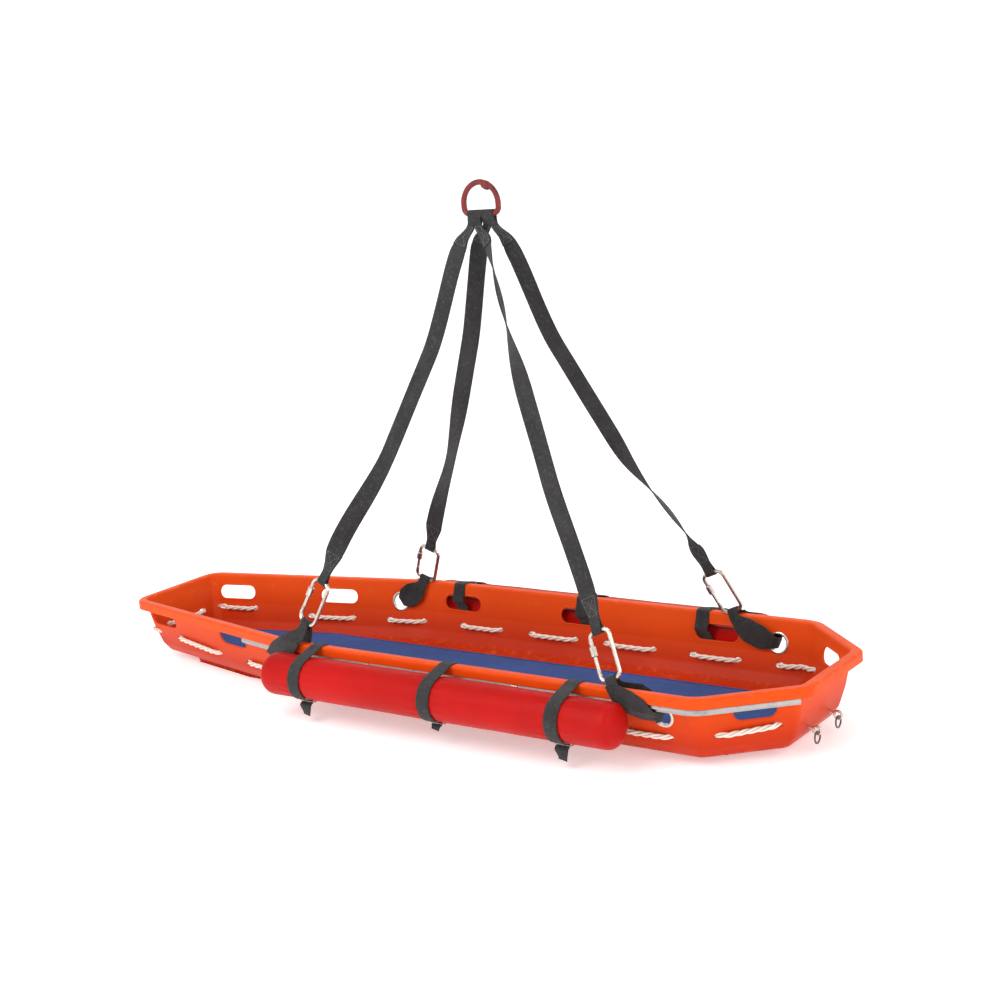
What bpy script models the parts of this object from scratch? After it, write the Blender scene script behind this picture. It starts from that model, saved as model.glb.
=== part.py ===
# Floating rescue basket stretcher with a four leg lifting bridle, in metres.
# +X points to the head end, +Z up; the moulded skids stand on z = 0.

from math import acos, atan2, cos, degrees, pi, radians, sin, sqrt, tan

import bmesh
import bpy
from mathutils import Matrix, Vector

# Hull plan, seen from above
HULL_LENGTH = 2.17
HULL_WIDTH = 0.64
FOOT_WIDTH = 0.33
HEAD_WIDTH = 0.28
TAPER_LENGTH = 0.765
CHAMFER_LENGTH = 0.20
FOOT_CORNER_RADIUS = 0.055
KINK_RADIUS = 0.20
SHOULDER_RADIUS = 0.09
HEAD_CORNER_RADIUS = 0.05
SMALLEST_CORNER_RADIUS = 0.025
FOOT = -HULL_LENGTH / 2
HEAD = HULL_LENGTH / 2

# Hull section: heights above the floor and insets from the rim's outer edge
RIM_HEIGHT = 0.185
WALL = 0.0045
LIP_WIDTH = 0.026
LIP_DROP = 0.024
LIP_ROUND = 0.005
LIP_TO_WALL = 0.004
UPPER_WALL_DROP = 0.020
SHELF_HEIGHT = 0.100
SHELF_INSET = 0.043
LOWER_WALL_HEIGHT = 0.050
LOWER_WALL_INSET = 0.058
BILGE_HEIGHT = 0.026
BILGE_INSET = 0.074
FLOOR_INSET = 0.102
# How much further than a side wall an end wall leans in over the same height
FOOT_WALL_LEAN = 0.8
HEAD_WALL_LEAN = 1.1

# Skids moulded under the floor
SKID_HEIGHT = 0.012
SKID_WIDTH = 0.045
SKID_SPACING = 0.27
SKID_BEND_PLACE = -0.295 * HULL_LENGTH
SKID_FOOT_GAP = 0.175
SKID_HEAD_GAP = 0.20
SKID_NOSE = 0.014

# Hand holes, their centres along the hull
HAND_HOLE_LENGTH = 0.130
HAND_HOLE_HEIGHT = 0.045
HAND_HOLE_CENTRE_HEIGHT = 0.133
HAND_HOLE_PLACES = tuple(share * HULL_LENGTH for share in (-0.4493, -0.288, -0.0968, 0.0876, 0.2811))
HEAD_HAND_HOLE_PLACE = HEAD - 0.113
HEAD_HAND_HOLE_LENGTH = 0.105

# Lifting eyelets with their grommets, beside the shoulder and the kink of the plan
HEAD_EYELET_PLACE = HEAD - CHAMFER_LENGTH - 0.099
FOOT_EYELET_PLACE = FOOT + TAPER_LENGTH - 0.100
EYELET_HEIGHT = 0.125
EYELET_RADIUS = 0.0235
GROMMET_BORE = 0.0215
GROMMET_FLANGE_RADIUS = 0.0285
GROMMET_THICKNESS = 0.0012

# Tube rails under the lip, one along each side up to the head end's corner
RAIL_RADIUS = 0.009
RAIL_INSET = 0.0125
RAIL_FOOT_PLACE = -0.25 * HULL_LENGTH
RAIL_CLIP_PLACES = tuple(share * HULL_LENGTH for share in (-0.0276, 0.1843))
RAIL_CLIP_WIDTH = 0.016
RAIL_CLIP_THICKNESS = 0.0015

# Mattress
MATTRESS_HALF_WIDTH = 0.158
MATTRESS_FOOT_HALF_WIDTH = 0.078
MATTRESS_THICKNESS = 0.028
MATTRESS_FOOT = FOOT + 0.100
MATTRESS_WIDE_FROM = FOOT + TAPER_LENGTH - 0.280
MATTRESS_HEAD = HEAD - 0.140
MATTRESS_HEAD_HALF_WIDTH = 0.120
MATTRESS_WIDE_TO = HEAD - CHAMFER_LENGTH

# Lacing rope: where it passes through the wall along one side, in order from the foot,
# starting inside; the first and last crossing lie on the end walls
ROPE_RADIUS = 0.0065
ROPE_HOLE_CLEARANCE = 0.0008
ROPE_WALL_CLEARANCE = 0.0020
ROPE_CROSSING_REACH = 0.020
ROPE_FOOT_CROSSING = 0.070
ROPE_HEAD_CROSSING_PLACE = HEAD - 0.085
ROPE_CROSSINGS = tuple(share * HULL_LENGTH for share in (
    -0.47, -0.4194, -0.33, -0.265, -0.2092, -0.159, -0.0949, -0.0346, 0.0157, 0.0816, 0.129, 0.1954,
    0.2507, 0.3111, 0.3654, 0.4147))
# Height of the rope at places along the hull
ROPE_HEIGHTS = ((FOOT, 0.090), (FOOT + 0.185, 0.087), (FOOT + 0.385, 0.072), (HEAD - 0.285, 0.072),
                (ROPE_HEAD_CROSSING_PLACE, 0.092), (HEAD, 0.092))

# Side floats
FLOAT_RADIUS = 0.055
FLOAT_LENGTH = 1.068
FLOAT_PLACE = 0.0839 * HULL_LENGTH
FLOAT_CENTRE_HEIGHT = 0.115
FLOAT_END_ROUND = 0.050

# Webbing straps that hold the floats
STRAP_WIDTH = 0.038
STRAP_THICKNESS = 0.0022
# Each strap lies this far from the middle of the hand hole that it passes through
STRAP_OFFSETS = (-0.013, 0.007, -0.042)
STRAP_PLACES = tuple(hole + offset for hole, offset in zip(HAND_HOLE_PLACES[2:], STRAP_OFFSETS))
STRAP_TAILS = (0.024, 0.004, 0.024)
BUCKLE_WIRE_RADIUS = 0.0020
BUCKLE_LENGTH = 0.022

# Lifting pads: wide webbing loops through the eyelets
PAD_WIDTH = 0.050
PAD_EYELET_WIDTH = 0.027
PAD_TOP_WIDTH = 0.026
PAD_THICKNESS = 0.003
PAD_TOP_STRAIGHT = 0.014
PAD_INNER_REACH = 0.014
PAD_STATIONS = 12
PAD_COLUMNS = 3
# Where the carabiner's bar hangs in each pad: along the wall and up from the eyelet, and out
PAD_BARS = {"foot_near": (0.165, 0.118, 0.010), "foot_far": (0.080, 0.070, 0.010),
            "head_near": (0.115, 0.079, 0.0227), "head_far": (0.128, 0.070, 0.010)}

# Carabiners, with the lower bar's centre as origin and the long axis along Z
CARABINER_LENGTH = 0.115
CARABINER_WIDTH = 0.058
CARABINER_ROD_RADIUS = 0.005
CARABINER_CORNER = 0.015
GATE_PIN_HEIGHT = 0.026
GATE_PIN_RADIUS = 0.0015
GATE_ROD_RADIUS = 0.0043
GATE_TONGUE = 0.0040
GATE_TONGUE_RADIUS = 0.0040
GATE_SLOT = 0.0046
GATE_ROD_START = 0.006
HINGE_CHEEK_RISE = 0.003
HINGE_SLOT_DROP = 0.0048
NOSE_HEIGHT = 0.0885
NOSE_GAP = 0.0005
PIN_CLEARANCE = 0.0003
SLEEVE_BORE = 0.0054
SLEEVE_RADIUS = 0.0080
SLEEVE_LENGTH = 0.024
SLEEVE_TOP_GAP = 0.0025

# Bridle
RING_PLACE = (FOOT_EYELET_PLACE + HEAD_EYELET_PLACE) / 2 + 0.007
RING_BAR_HEIGHT = 1.243
RING_BAR_RADIUS = 0.007
RING_HALF_WIDTH = 0.052
RING_HEIGHT = 0.076
RING_CORNER = 0.016
LEG_WIDTH = 0.050
LEG_THICKNESS = 0.0036
LEG_SEWN_THICKNESS = 0.0060
LEG_SEWN_LENGTH = 0.085
LEG_RING_WIDTH = 0.016
LEG_RING_PITCH = 0.0185
LEG_CARABINER_WIDTH = 0.026
LEG_FLARE = 0.14
LEG_EYE_WEBBING = 0.003
LEG_SQUARE_TO = 0.068
EYE_CLEARANCE = 0.0009
LEG_EYE_TIP = 0.018
LEG_NECK = 0.030
LEG_STATIONS = 26
LEG_COLUMNS = 4
LEG_TWIST_REACH = 0.24
# How far each leg is turned on itself, in degrees, and where along it
LEG_TWISTS = {"foot_near": (-35.0, 0.85), "foot_far": (60.0, 0.62), "head_near": (70.0, 0.28),
              "head_far": (65.0, 0.78)}

# Towing eye bolts through the head end wall
BOLT_SPACING = 0.110
BOLT_HEIGHT = 0.058
BOLT_RADIUS = 0.004
BOLT_EYE_RADIUS = 0.0095
BOLT_EYE_WIRE = 0.0032
BOLT_REACH = 0.016
BOLT_INSIDE = 0.014
NUT_RADIUS = 0.0075
NUT_THICKNESS = 0.006
TOW_RING_RADIUS = 0.0135
TOW_RING_WIRE = 0.0025

# Room left between pieces that touch
FIT_GAP = 0.0003

SIDES = (("near", -1.0), ("far", 1.0))
CORNERS = tuple((end, side, x_sign, y_sign)
                for end, x_sign in (("foot", -1.0), ("head", 1.0))
                for side, y_sign in SIDES)

FLOOR_UNDERSIDE = SKID_HEIGHT
FLOOR_TOP = FLOOR_UNDERSIDE + WALL
RAIL_HEIGHT = RIM_HEIGHT - LIP_DROP - RAIL_RADIUS - FIT_GAP


# Scene and materials

def clear_scene():
    for item in list(bpy.data.objects):
        bpy.data.objects.remove(item, do_unlink=True)


def collection(name, parent=None):
    group = bpy.data.collections.new(name)
    (parent or bpy.context.scene.collection).children.link(group)
    return group


def material(name, colour, roughness, metallic=0.0):
    made = bpy.data.materials.new(name)
    made.use_nodes = True
    shader = made.node_tree.nodes["Principled BSDF"]
    shader.inputs["Base Color"].default_value = (*colour, 1.0)
    shader.inputs["Roughness"].default_value = roughness
    shader.inputs["Metallic"].default_value = metallic
    return made


clear_scene()
PARTS = collection("basket_stretcher")
CUTTERS = collection("cutters")
ORANGE_SHELL = material("orange_shell", (0.75, 0.07, 0.008), 0.42)
RED_FOAM = material("red_float_skin", (0.66, 0.012, 0.012), 0.5)
BLUE_FOAM = material("blue_mattress", (0.07, 0.12, 0.36), 0.85)
WEBBING = material("dark_webbing", (0.035, 0.033, 0.035), 0.9)
ROPE_WHITE = material("white_rope", (0.80, 0.72, 0.64), 0.85)
BARE_ALUMINIUM = material("rail_aluminium", (0.72, 0.71, 0.70), 0.32, 1.0)
STEEL = material("plated_steel", (0.62, 0.61, 0.60), 0.28, 1.0)
DARK_STEEL = material("dark_steel", (0.16, 0.16, 0.17), 0.4, 1.0)
RED_STEEL = material("red_painted_steel", (0.30, 0.018, 0.016), 0.45)
NICKEL = material("grommet_nickel", (0.74, 0.70, 0.64), 0.3, 1.0)


# Building helpers

def add_object(name, mesh, finish, place=None, smooth_angle=35):
    mesh.materials.clear()
    mesh.materials.append(finish)
    mesh.shade_smooth()
    mesh.set_sharp_from_angle(angle=radians(smooth_angle))
    made = bpy.data.objects.new(name, mesh)
    PARTS.objects.link(made)
    if place is not None:
        made.matrix_world = place
    return made


def add_cutter(name, mesh):
    made = bpy.data.objects.new(name, mesh)
    CUTTERS.objects.link(made)
    made.hide_render = True
    made.display_type = "WIRE"
    return made


def boolean(target, cutter, operation="DIFFERENCE"):
    step = target.modifiers.new(cutter.name, "BOOLEAN")
    step.operation = operation
    step.object = cutter
    return step


def mesh_from(shape, name):
    bmesh.ops.recalc_face_normals(shape, faces=shape.faces)
    mesh = bpy.data.meshes.new(name)
    shape.to_mesh(mesh)
    shape.free()
    return mesh


def curve_mesh(name, curve):
    """A mesh from a curve, with its caps welded on."""
    carrier = bpy.data.objects.new(name + "_curve", curve)
    CUTTERS.objects.link(carrier)
    bpy.context.view_layer.update()
    evaluated = carrier.evaluated_get(bpy.context.evaluated_depsgraph_get())
    mesh = bpy.data.meshes.new_from_object(evaluated)
    mesh.name = name
    bpy.data.objects.remove(carrier, do_unlink=True)
    bpy.data.curves.remove(curve)
    shape = bmesh.new()
    shape.from_mesh(mesh)
    bmesh.ops.remove_doubles(shape, verts=shape.verts, dist=0.00001)
    bmesh.ops.recalc_face_normals(shape, faces=shape.faces)
    shape.to_mesh(mesh)
    shape.free()
    return mesh


def tube_mesh(name, points, radius, closed=False, bevel_resolution=2):
    curve = bpy.data.curves.new(name, "CURVE")
    curve.dimensions = "3D"
    curve.bevel_depth = radius
    curve.bevel_resolution = bevel_resolution
    curve.use_fill_caps = not closed
    spline = curve.splines.new("POLY")
    spline.points.add(len(points) - 1)
    for slot, point in zip(spline.points, points):
        slot.co = (*point, 1.0)
    spline.use_cyclic_u = closed
    return curve_mesh(name, curve)


def flat_mesh(name, loops, thickness):
    """Closed flat outlines, the first one outside, filled and given a thickness along Z."""
    curve = bpy.data.curves.new(name, "CURVE")
    curve.dimensions = "2D"
    curve.fill_mode = "BOTH"
    curve.extrude = thickness / 2
    for loop in loops:
        spline = curve.splines.new("POLY")
        spline.points.add(len(loop) - 1)
        for slot, point in zip(spline.points, loop):
            slot.co = (point[0], point[1], 0.0, 1.0)
        spline.use_cyclic_u = True
    return curve_mesh(name, curve)


def cylinder_mesh(name, radius, depth, sides, place=None):
    shape = bmesh.new()
    bmesh.ops.create_cone(shape, cap_ends=True, segments=sides, radius1=radius, radius2=radius,
                          depth=depth, matrix=place or Matrix.Identity(4))
    return mesh_from(shape, name)


def turned_object(name, profile, steps, finish, place):
    """A Screw modifier round Z; the profile runs top to bottom on the outer side."""
    mesh = bpy.data.meshes.new(name)
    shape = bmesh.new()
    corners = [shape.verts.new((radius, 0.0, height)) for radius, height in profile]
    closed = profile[0][0] > 0.0 and profile[-1][0] > 0.0
    for first, second in zip(corners, corners[1:]):
        shape.edges.new((first, second))
    if closed:
        shape.edges.new((corners[-1], corners[0]))
    shape.to_mesh(mesh)
    shape.free()
    made = add_object(name, mesh, finish, place)
    turn = made.modifiers.new("turn", "SCREW")
    turn.axis = "Z"
    turn.angle = 2 * pi
    turn.steps = steps
    turn.render_steps = steps
    turn.use_merge_vertices = True
    turn.merge_threshold = 0.00001
    turn.use_smooth_shade = True
    turn.use_normal_calculate = not closed
    return made


def smooth(value):
    value = min(1.0, max(0.0, value))
    return value * value * (3 - 2 * value)


def arc(centre, radius, start, end, steps):
    """Points on a flat arc, from one angle in degrees to another."""
    return [(centre[0] + radius * cos(radians(start + (end - start) * step / steps)),
             centre[1] + radius * sin(radians(start + (end - start) * step / steps)))
            for step in range(steps + 1)]


def ribbon_outline(path, thickness):
    """The outline of a strip of this thickness along an open flat path."""
    left = []
    right = []
    for index, point in enumerate(path):
        before = Vector(path[max(index - 1, 0)])
        after = Vector(path[min(index + 1, len(path) - 1)])
        here = Vector(point)
        first = (here - before).normalized() if index else (after - here).normalized()
        second = (after - here).normalized() if index < len(path) - 1 else first
        across = Vector((-(first.y + second.y), first.x + second.x)).normalized()
        stretch = 1.0 / max(0.5, across.dot(Vector((-first.y, first.x))))
        left.append(tuple(here + across * thickness / 2 * stretch))
        right.append(tuple(here - across * thickness / 2 * stretch))
    return left + right[::-1]


def frame_matrix(x_axis, y_axis, z_axis, origin):
    turned = Matrix((x_axis, y_axis, z_axis)).transposed().to_4x4()
    turned.translation = origin
    return turned


# Hull plan and section

def plan_corners(inset):
    """Corner points of the plan at an inset, far side from foot to head, then near side back."""
    foot_x = FOOT + inset * FOOT_WALL_LEAN
    head_x = HEAD - inset * HEAD_WALL_LEAN
    side_y = HULL_WIDTH / 2 - inset
    taper = atan2((HULL_WIDTH - FOOT_WIDTH) / 2, TAPER_LENGTH)
    chamfer = atan2((HULL_WIDTH - HEAD_WIDTH) / 2, CHAMFER_LENGTH)
    kink_x = FOOT + TAPER_LENGTH + inset * tan(taper / 2)
    shoulder_x = HEAD - CHAMFER_LENGTH - inset * tan(chamfer / 2)
    foot_y = side_y - (kink_x - foot_x) * tan(taper)
    head_y = side_y - (head_x - shoulder_x) * tan(chamfer)
    far = [(foot_x, foot_y, FOOT_CORNER_RADIUS, 4), (kink_x, side_y, KINK_RADIUS, 2),
           (shoulder_x, side_y, SHOULDER_RADIUS, 4), (head_x, head_y, HEAD_CORNER_RADIUS, 4)]
    near = [(x, -y, radius, steps) for x, y, radius, steps in reversed(far)]
    return far + near


def plan_loop(inset):
    """The rounded plan at an inset from the rim's outer edge, always with as many points."""
    corners = plan_corners(inset)
    loop = []
    for index, (x, y, radius, steps) in enumerate(corners):
        here = Vector((x, y))
        before = (Vector(corners[index - 1][:2]) - here).normalized()
        after = (Vector(corners[(index + 1) % len(corners)][:2]) - here).normalized()
        half = before.angle(after) / 2
        rounding = max(radius - inset, SMALLEST_CORNER_RADIUS)
        centre = here + (before + after).normalized() * rounding / sin(half)
        start = here + before * rounding / tan(half) - centre
        sweep = pi - 2 * half
        for step in range(steps + 1):
            turned = start.copy()
            turned.rotate(Matrix.Rotation(-sweep * step / steps, 2))
            loop.append(centre + turned)
    return loop


def section_rows():
    """Inset and height of the shell's upper face, from the lip's hem down to the floor."""
    return [(0.0, RIM_HEIGHT - LIP_DROP),
            (0.0, RIM_HEIGHT - LIP_ROUND),
            (LIP_ROUND, RIM_HEIGHT),
            (LIP_WIDTH - LIP_ROUND, RIM_HEIGHT),
            (LIP_WIDTH, RIM_HEIGHT - LIP_ROUND),
            (LIP_WIDTH + LIP_TO_WALL, RIM_HEIGHT - UPPER_WALL_DROP),
            (SHELF_INSET, SHELF_HEIGHT),
            (LOWER_WALL_INSET, LOWER_WALL_HEIGHT),
            (BILGE_INSET, BILGE_HEIGHT),
            (FLOOR_INSET, FLOOR_TOP)]


def wall_inset(height):
    """Inset of the wall's inner face at a height."""
    rows = section_rows()[4:]
    for (inset_a, height_a), (inset_b, height_b) in zip(rows, rows[1:]):
        if height_b <= height <= height_a:
            return inset_a + (inset_b - inset_a) * (height_a - height) / (height_a - height_b)
    return rows[-1][0]


def wall_slope(height):
    """How far the wall leans, as inset per height."""
    step = 0.001
    return (wall_inset(height - step) - wall_inset(height + step)) / (2 * step)


def middle_inset(height):
    """Inset of the wall's middle surface."""
    return wall_inset(height) - WALL / 2 * sqrt(1 + wall_slope(height) ** 2)


def wall_frame(place, side_sign, height):
    """Point on the wall's middle at a place along X, with the along and outward directions."""
    corners = plan_corners(middle_inset(height))[:4]
    for (x_a, y_a, _, _), (x_b, y_b, _, _) in zip(corners, corners[1:]):
        if place <= x_b:
            break
    along = Vector((x_b - x_a, y_b - y_a, 0.0)).normalized()
    point = Vector((place, y_a + (y_b - y_a) * (place - x_a) / (x_b - x_a), height))
    outward = Vector((-along.y, along.x, 0.0))
    if side_sign < 0:
        point.y = -point.y
        along.y = -along.y
        outward.y = -outward.y
    return point, along, outward


def edge_ring(shape, points, height):
    corners = [shape.verts.new((*point, height)) for point in points]
    return [shape.edges.new((corners[index - 1], corners[index])) for index in range(len(corners))]


def hull_shell():
    shape = bmesh.new()
    rings = [edge_ring(shape, plan_loop(inset), height) for inset, height in section_rows()]
    for upper, lower in zip(rings, rings[1:]):
        bmesh.ops.bridge_loops(shape, edges=upper + lower)
    bmesh.ops.contextual_create(shape, geom=rings[-1])
    bmesh.ops.recalc_face_normals(shape, faces=shape.faces)
    floor = min(shape.faces, key=lambda face: face.calc_center_median().z)
    if floor.normal.z < 0:
        bmesh.ops.reverse_faces(shape, faces=shape.faces)
    mesh = bpy.data.meshes.new("hull_shell")
    shape.to_mesh(mesh)
    shape.free()
    hull = add_object("hull_shell", mesh, ORANGE_SHELL)
    wall = hull.modifiers.new("wall", "SOLIDIFY")
    wall.thickness = WALL
    wall.offset = -1.0
    wall.use_even_offset = True
    for side, side_sign in SIDES:
        boolean(hull, add_cutter("skid_" + side, skid_mesh(side_sign)), "UNION")
    boolean(hull, add_cutter("hand_holes", hand_holes_mesh()))
    boolean(hull, add_cutter("eyelet_holes", eyelet_holes_mesh()))
    boolean(hull, add_cutter("rope_holes", rope_holes_mesh()))
    boolean(hull, add_cutter("bolt_holes", bolt_holes_mesh()))
    return hull


def prism(shape, outline, depth, place):
    """Adds a flat outline, given a depth about its plane, to a mesh under construction."""
    corners = [shape.verts.new(place @ Vector((x, y, -depth / 2))) for x, y in outline]
    face = shape.faces.new(corners)
    grown = bmesh.ops.extrude_face_region(shape, geom=[face])["geom"]
    lift = place.to_3x3() @ Vector((0.0, 0.0, depth))
    bmesh.ops.translate(shape, vec=lift, verts=[v for v in grown if isinstance(v, bmesh.types.BMVert)])


def skid_mesh(side_sign):
    """A moulded runner with raked ends, a little way into the floor; it follows the taper."""
    foot = FOOT + SKID_FOOT_GAP
    head = HEAD - SKID_HEAD_GAP
    top = FLOOR_UNDERSIDE + WALL / 2
    bend = SKID_BEND_PLACE
    lean = (HULL_WIDTH - FOOT_WIDTH) / 2 / TAPER_LENGTH
    cells = [((foot, top), (foot + SKID_NOSE, 0.0), (bend, 0.0), (bend, top)),
             ((bend, top), (bend, 0.0), (head - SKID_NOSE, 0.0), (head, top))]
    mesh = cells_mesh(cells, 2)
    for vertex in mesh.vertices:
        x, z, across = vertex.co
        middle = SKID_SPACING / 2 - lean * max(0.0, bend - x)
        vertex.co = (x, side_sign * (middle + across * SKID_WIDTH), z)
    face_outward(mesh)
    return mesh


def stadium(length, height, steps=5):
    middle = length / 2 - height / 2
    return arc((middle, 0.0), height / 2, -90, 90, steps) + arc((-middle, 0.0), height / 2, 90, 270,
                                                                steps)


def wall_matrix(place, side_sign, height, tilted):
    """Local X along the wall, local Z out of it, level or square to the leaning wall."""
    point, along, outward = wall_frame(place, side_sign, height)
    if tilted:
        outward = Vector((outward.x, outward.y, -wall_slope(height))).normalized()
    return frame_matrix(along, outward.cross(along), outward, point)


def hand_holes_mesh():
    shape = bmesh.new()
    for _, side_sign in SIDES:
        for place in HAND_HOLE_PLACES:
            prism(shape, stadium(HAND_HOLE_LENGTH, HAND_HOLE_HEIGHT), 8 * WALL,
                  wall_matrix(place, side_sign, HAND_HOLE_CENTRE_HEIGHT, False))
        prism(shape, stadium(HEAD_HAND_HOLE_LENGTH, HAND_HOLE_HEIGHT), 8 * WALL,
              wall_matrix(HEAD_HAND_HOLE_PLACE, side_sign, HAND_HOLE_CENTRE_HEIGHT, False))
    return mesh_from(shape, "hand_holes")


def eyelet_holes_mesh():
    shape = bmesh.new()
    for end, _, _, side_sign in CORNERS:
        bmesh.ops.create_cone(shape, cap_ends=True, segments=16, radius1=EYELET_RADIUS,
                              radius2=EYELET_RADIUS, depth=8 * WALL,
                              matrix=wall_matrix(eyelet_place(end), side_sign, EYELET_HEIGHT, True))
    return mesh_from(shape, "eyelet_holes")


def eyelet_place(end):
    return FOOT_EYELET_PLACE if end == "foot" else HEAD_EYELET_PLACE


# Lacing rope

def rope_height(place):
    for (place_a, height_a), (place_b, height_b) in zip(ROPE_HEIGHTS, ROPE_HEIGHTS[1:]):
        if place <= place_b:
            return height_a + (height_b - height_a) * max(0.0, place - place_a) / (place_b - place_a)
    return ROPE_HEIGHTS[-1][1]


def rope_wall_path():
    """The wall's middle line at the rope's height, along the far side from foot to head."""
    base = plan_loop(middle_inset(ROPE_HEIGHTS[2][1]))
    half = [point for point in base if point.y > 0.0]
    half = [Vector((half[0].x, 0.0))] + half + [Vector((half[-1].x, 0.0))]
    return half


def path_lengths(path):
    lengths = [0.0]
    for before, after in zip(path, path[1:]):
        lengths.append(lengths[-1] + (after - before).length)
    return lengths


def path_point(path, lengths, along):
    """Point and outward direction on the wall path, with the rope's height there."""
    index = 0
    while index < len(path) - 2 and lengths[index + 1] < along:
        index += 1
    direction = (path[index + 1] - path[index]).normalized()
    flat = path[index] + direction * (along - lengths[index])
    outward = Vector((-direction.y, direction.x))
    height = rope_height(flat.x)
    flat = flat + outward * (middle_inset(ROPE_HEIGHTS[2][1]) - middle_inset(height))
    return Vector((*flat, height)), Vector((*outward, 0.0))


def length_at(path, lengths, place):
    for index, (before, after) in enumerate(zip(path, path[1:])):
        if before.x <= place <= after.x and after.x > before.x:
            share = (place - before.x) / (after.x - before.x)
            return lengths[index] + share * (lengths[index + 1] - lengths[index])
    raise ValueError("no wall at this place")


def rope_crossings(path, lengths):
    """Arc lengths where the rope changes sides of the wall, from the foot end's middle."""
    places = [length_at(path, lengths, place) for place in ROPE_CROSSINGS]
    head = length_at(path, lengths, ROPE_HEAD_CROSSING_PLACE)
    return [ROPE_FOOT_CROSSING] + places + [head]


def rope_offset(crossings, along):
    """Signed distance of the rope from the wall's middle; it starts inside at the foot."""
    reach = ROPE_CROSSING_REACH
    away = WALL / 2 + ROPE_RADIUS + ROPE_WALL_CLEARANCE
    side = -1.0
    for crossing in crossings:
        if along > crossing + reach:
            side = -side
        elif along > crossing - reach:
            turn = smooth((along - crossing + reach) / (2 * reach))
            return away * side * (1 - 2 * turn)
    return away * side


def half_rope():
    path = rope_wall_path()
    lengths = path_lengths(path)
    crossings = rope_crossings(path, lengths)
    stops = [0.0, lengths[-1]]
    for crossing in crossings:
        stops += [crossing + share * ROPE_CROSSING_REACH for share in (-1.0, -0.3, 0.3, 1.0)]
    for corner in lengths[1:-1]:
        if min(abs(corner - crossing) for crossing in crossings) > 1.4 * ROPE_CROSSING_REACH:
            stops.append(corner)
    points = []
    for along in sorted(stops):
        point, outward = path_point(path, lengths, along)
        points.append(point + outward * rope_offset(crossings, along))
    return points


def mirrored(points):
    return [Vector((point.x, -point.y, point.z)) for point in points]


def rope_points():
    far = half_rope()
    return far + mirrored(far[1:-1])[::-1]


def lacing_rope():
    add_object("lacing_rope", tube_mesh("lacing_rope", rope_points(), ROPE_RADIUS, closed=True),
               ROPE_WHITE, smooth_angle=60)


def rope_holes_mesh():
    """The rope's own run, a little thicker: it meets the wall only where the rope passes through."""
    return tube_mesh("rope_holes", rope_points(), ROPE_RADIUS + ROPE_HOLE_CLEARANCE, closed=True)


# Rail, mattress and floats

def rim_rails():
    """Each starts on the taper and ends where the head end's corner begins."""
    far = [point for point in plan_loop(RAIL_INSET) if point.y > 0.0]
    bends = far[5:-4]
    taper_start = far[4]
    share = (RAIL_FOOT_PLACE - taper_start.x) / (bends[0].x - taper_start.x)
    line = [taper_start.lerp(bends[0], share)] + bends
    for side, side_sign in SIDES:
        points = [Vector((point.x, side_sign * point.y, RAIL_HEIGHT)) for point in line]
        mesh = tube_mesh("rim_rail", points, RAIL_RADIUS)
        add_object("rim_rail_" + side, mesh, BARE_ALUMINIUM)


def rail_clips():
    """P clips: a band round the rail with a tab against the wall."""
    band = RAIL_RADIUS + FIT_GAP + RAIL_CLIP_THICKNESS / 2
    lean = wall_slope(RAIL_HEIGHT)
    wall_gap = wall_inset(RAIL_HEIGHT) - WALL * sqrt(1 + lean ** 2) - RAIL_INSET
    tab_x = -wall_gap + RAIL_CLIP_THICKNESS / 2 + FIT_GAP
    tab_foot = RAIL_HEIGHT - SHELF_HEIGHT - 0.012
    path = arc((0.0, 0.0), band, 150, -138, 16)
    path.append((tab_x - lean * 0.016, -0.016))
    path.append((tab_x - lean * tab_foot, -tab_foot))
    for side, side_sign in SIDES:
        for number, place in enumerate(RAIL_CLIP_PLACES, 1):
            mesh = flat_mesh("rail_clip", [ribbon_outline(path, RAIL_CLIP_THICKNESS)],
                             RAIL_CLIP_WIDTH)
            centre = Vector((place, side_sign * (HULL_WIDTH / 2 - RAIL_INSET), RAIL_HEIGHT))
            outward = Vector((0.0, side_sign, 0.0))
            up = Vector((0.0, 0.0, 1.0))
            add_object(f"rail_clip_{side}_{number}", mesh, STEEL,
                       frame_matrix(outward, up, outward.cross(up), centre))


def mattress():
    half = [(MATTRESS_FOOT, MATTRESS_FOOT_HALF_WIDTH), (MATTRESS_WIDE_FROM, MATTRESS_HALF_WIDTH),
            (MATTRESS_WIDE_TO, MATTRESS_HALF_WIDTH), (MATTRESS_HEAD, MATTRESS_HEAD_HALF_WIDTH)]
    outline = [(x, -y) for x, y in half] + half[::-1]
    shape = bmesh.new()
    middle = FLOOR_TOP + FIT_GAP + MATTRESS_THICKNESS / 2
    prism(shape, outline, MATTRESS_THICKNESS, Matrix.Translation((0.0, 0.0, middle)))
    made = add_object("mattress", mesh_from(shape, "mattress"), BLUE_FOAM)
    edge = made.modifiers.new("soft_edge", "BEVEL")
    edge.width = MATTRESS_THICKNESS / 4
    edge.segments = 2


def float_centre_distance():
    """Distance of a float's axis from the middle plane, so that it bears on the rail's clips."""
    rise = RAIL_HEIGHT - FLOAT_CENTRE_HEIGHT
    reach = FLOAT_RADIUS + RAIL_RADIUS + RAIL_CLIP_THICKNESS + 3 * FIT_GAP
    return HULL_WIDTH / 2 - RAIL_INSET + sqrt(reach ** 2 - rise ** 2)


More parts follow.
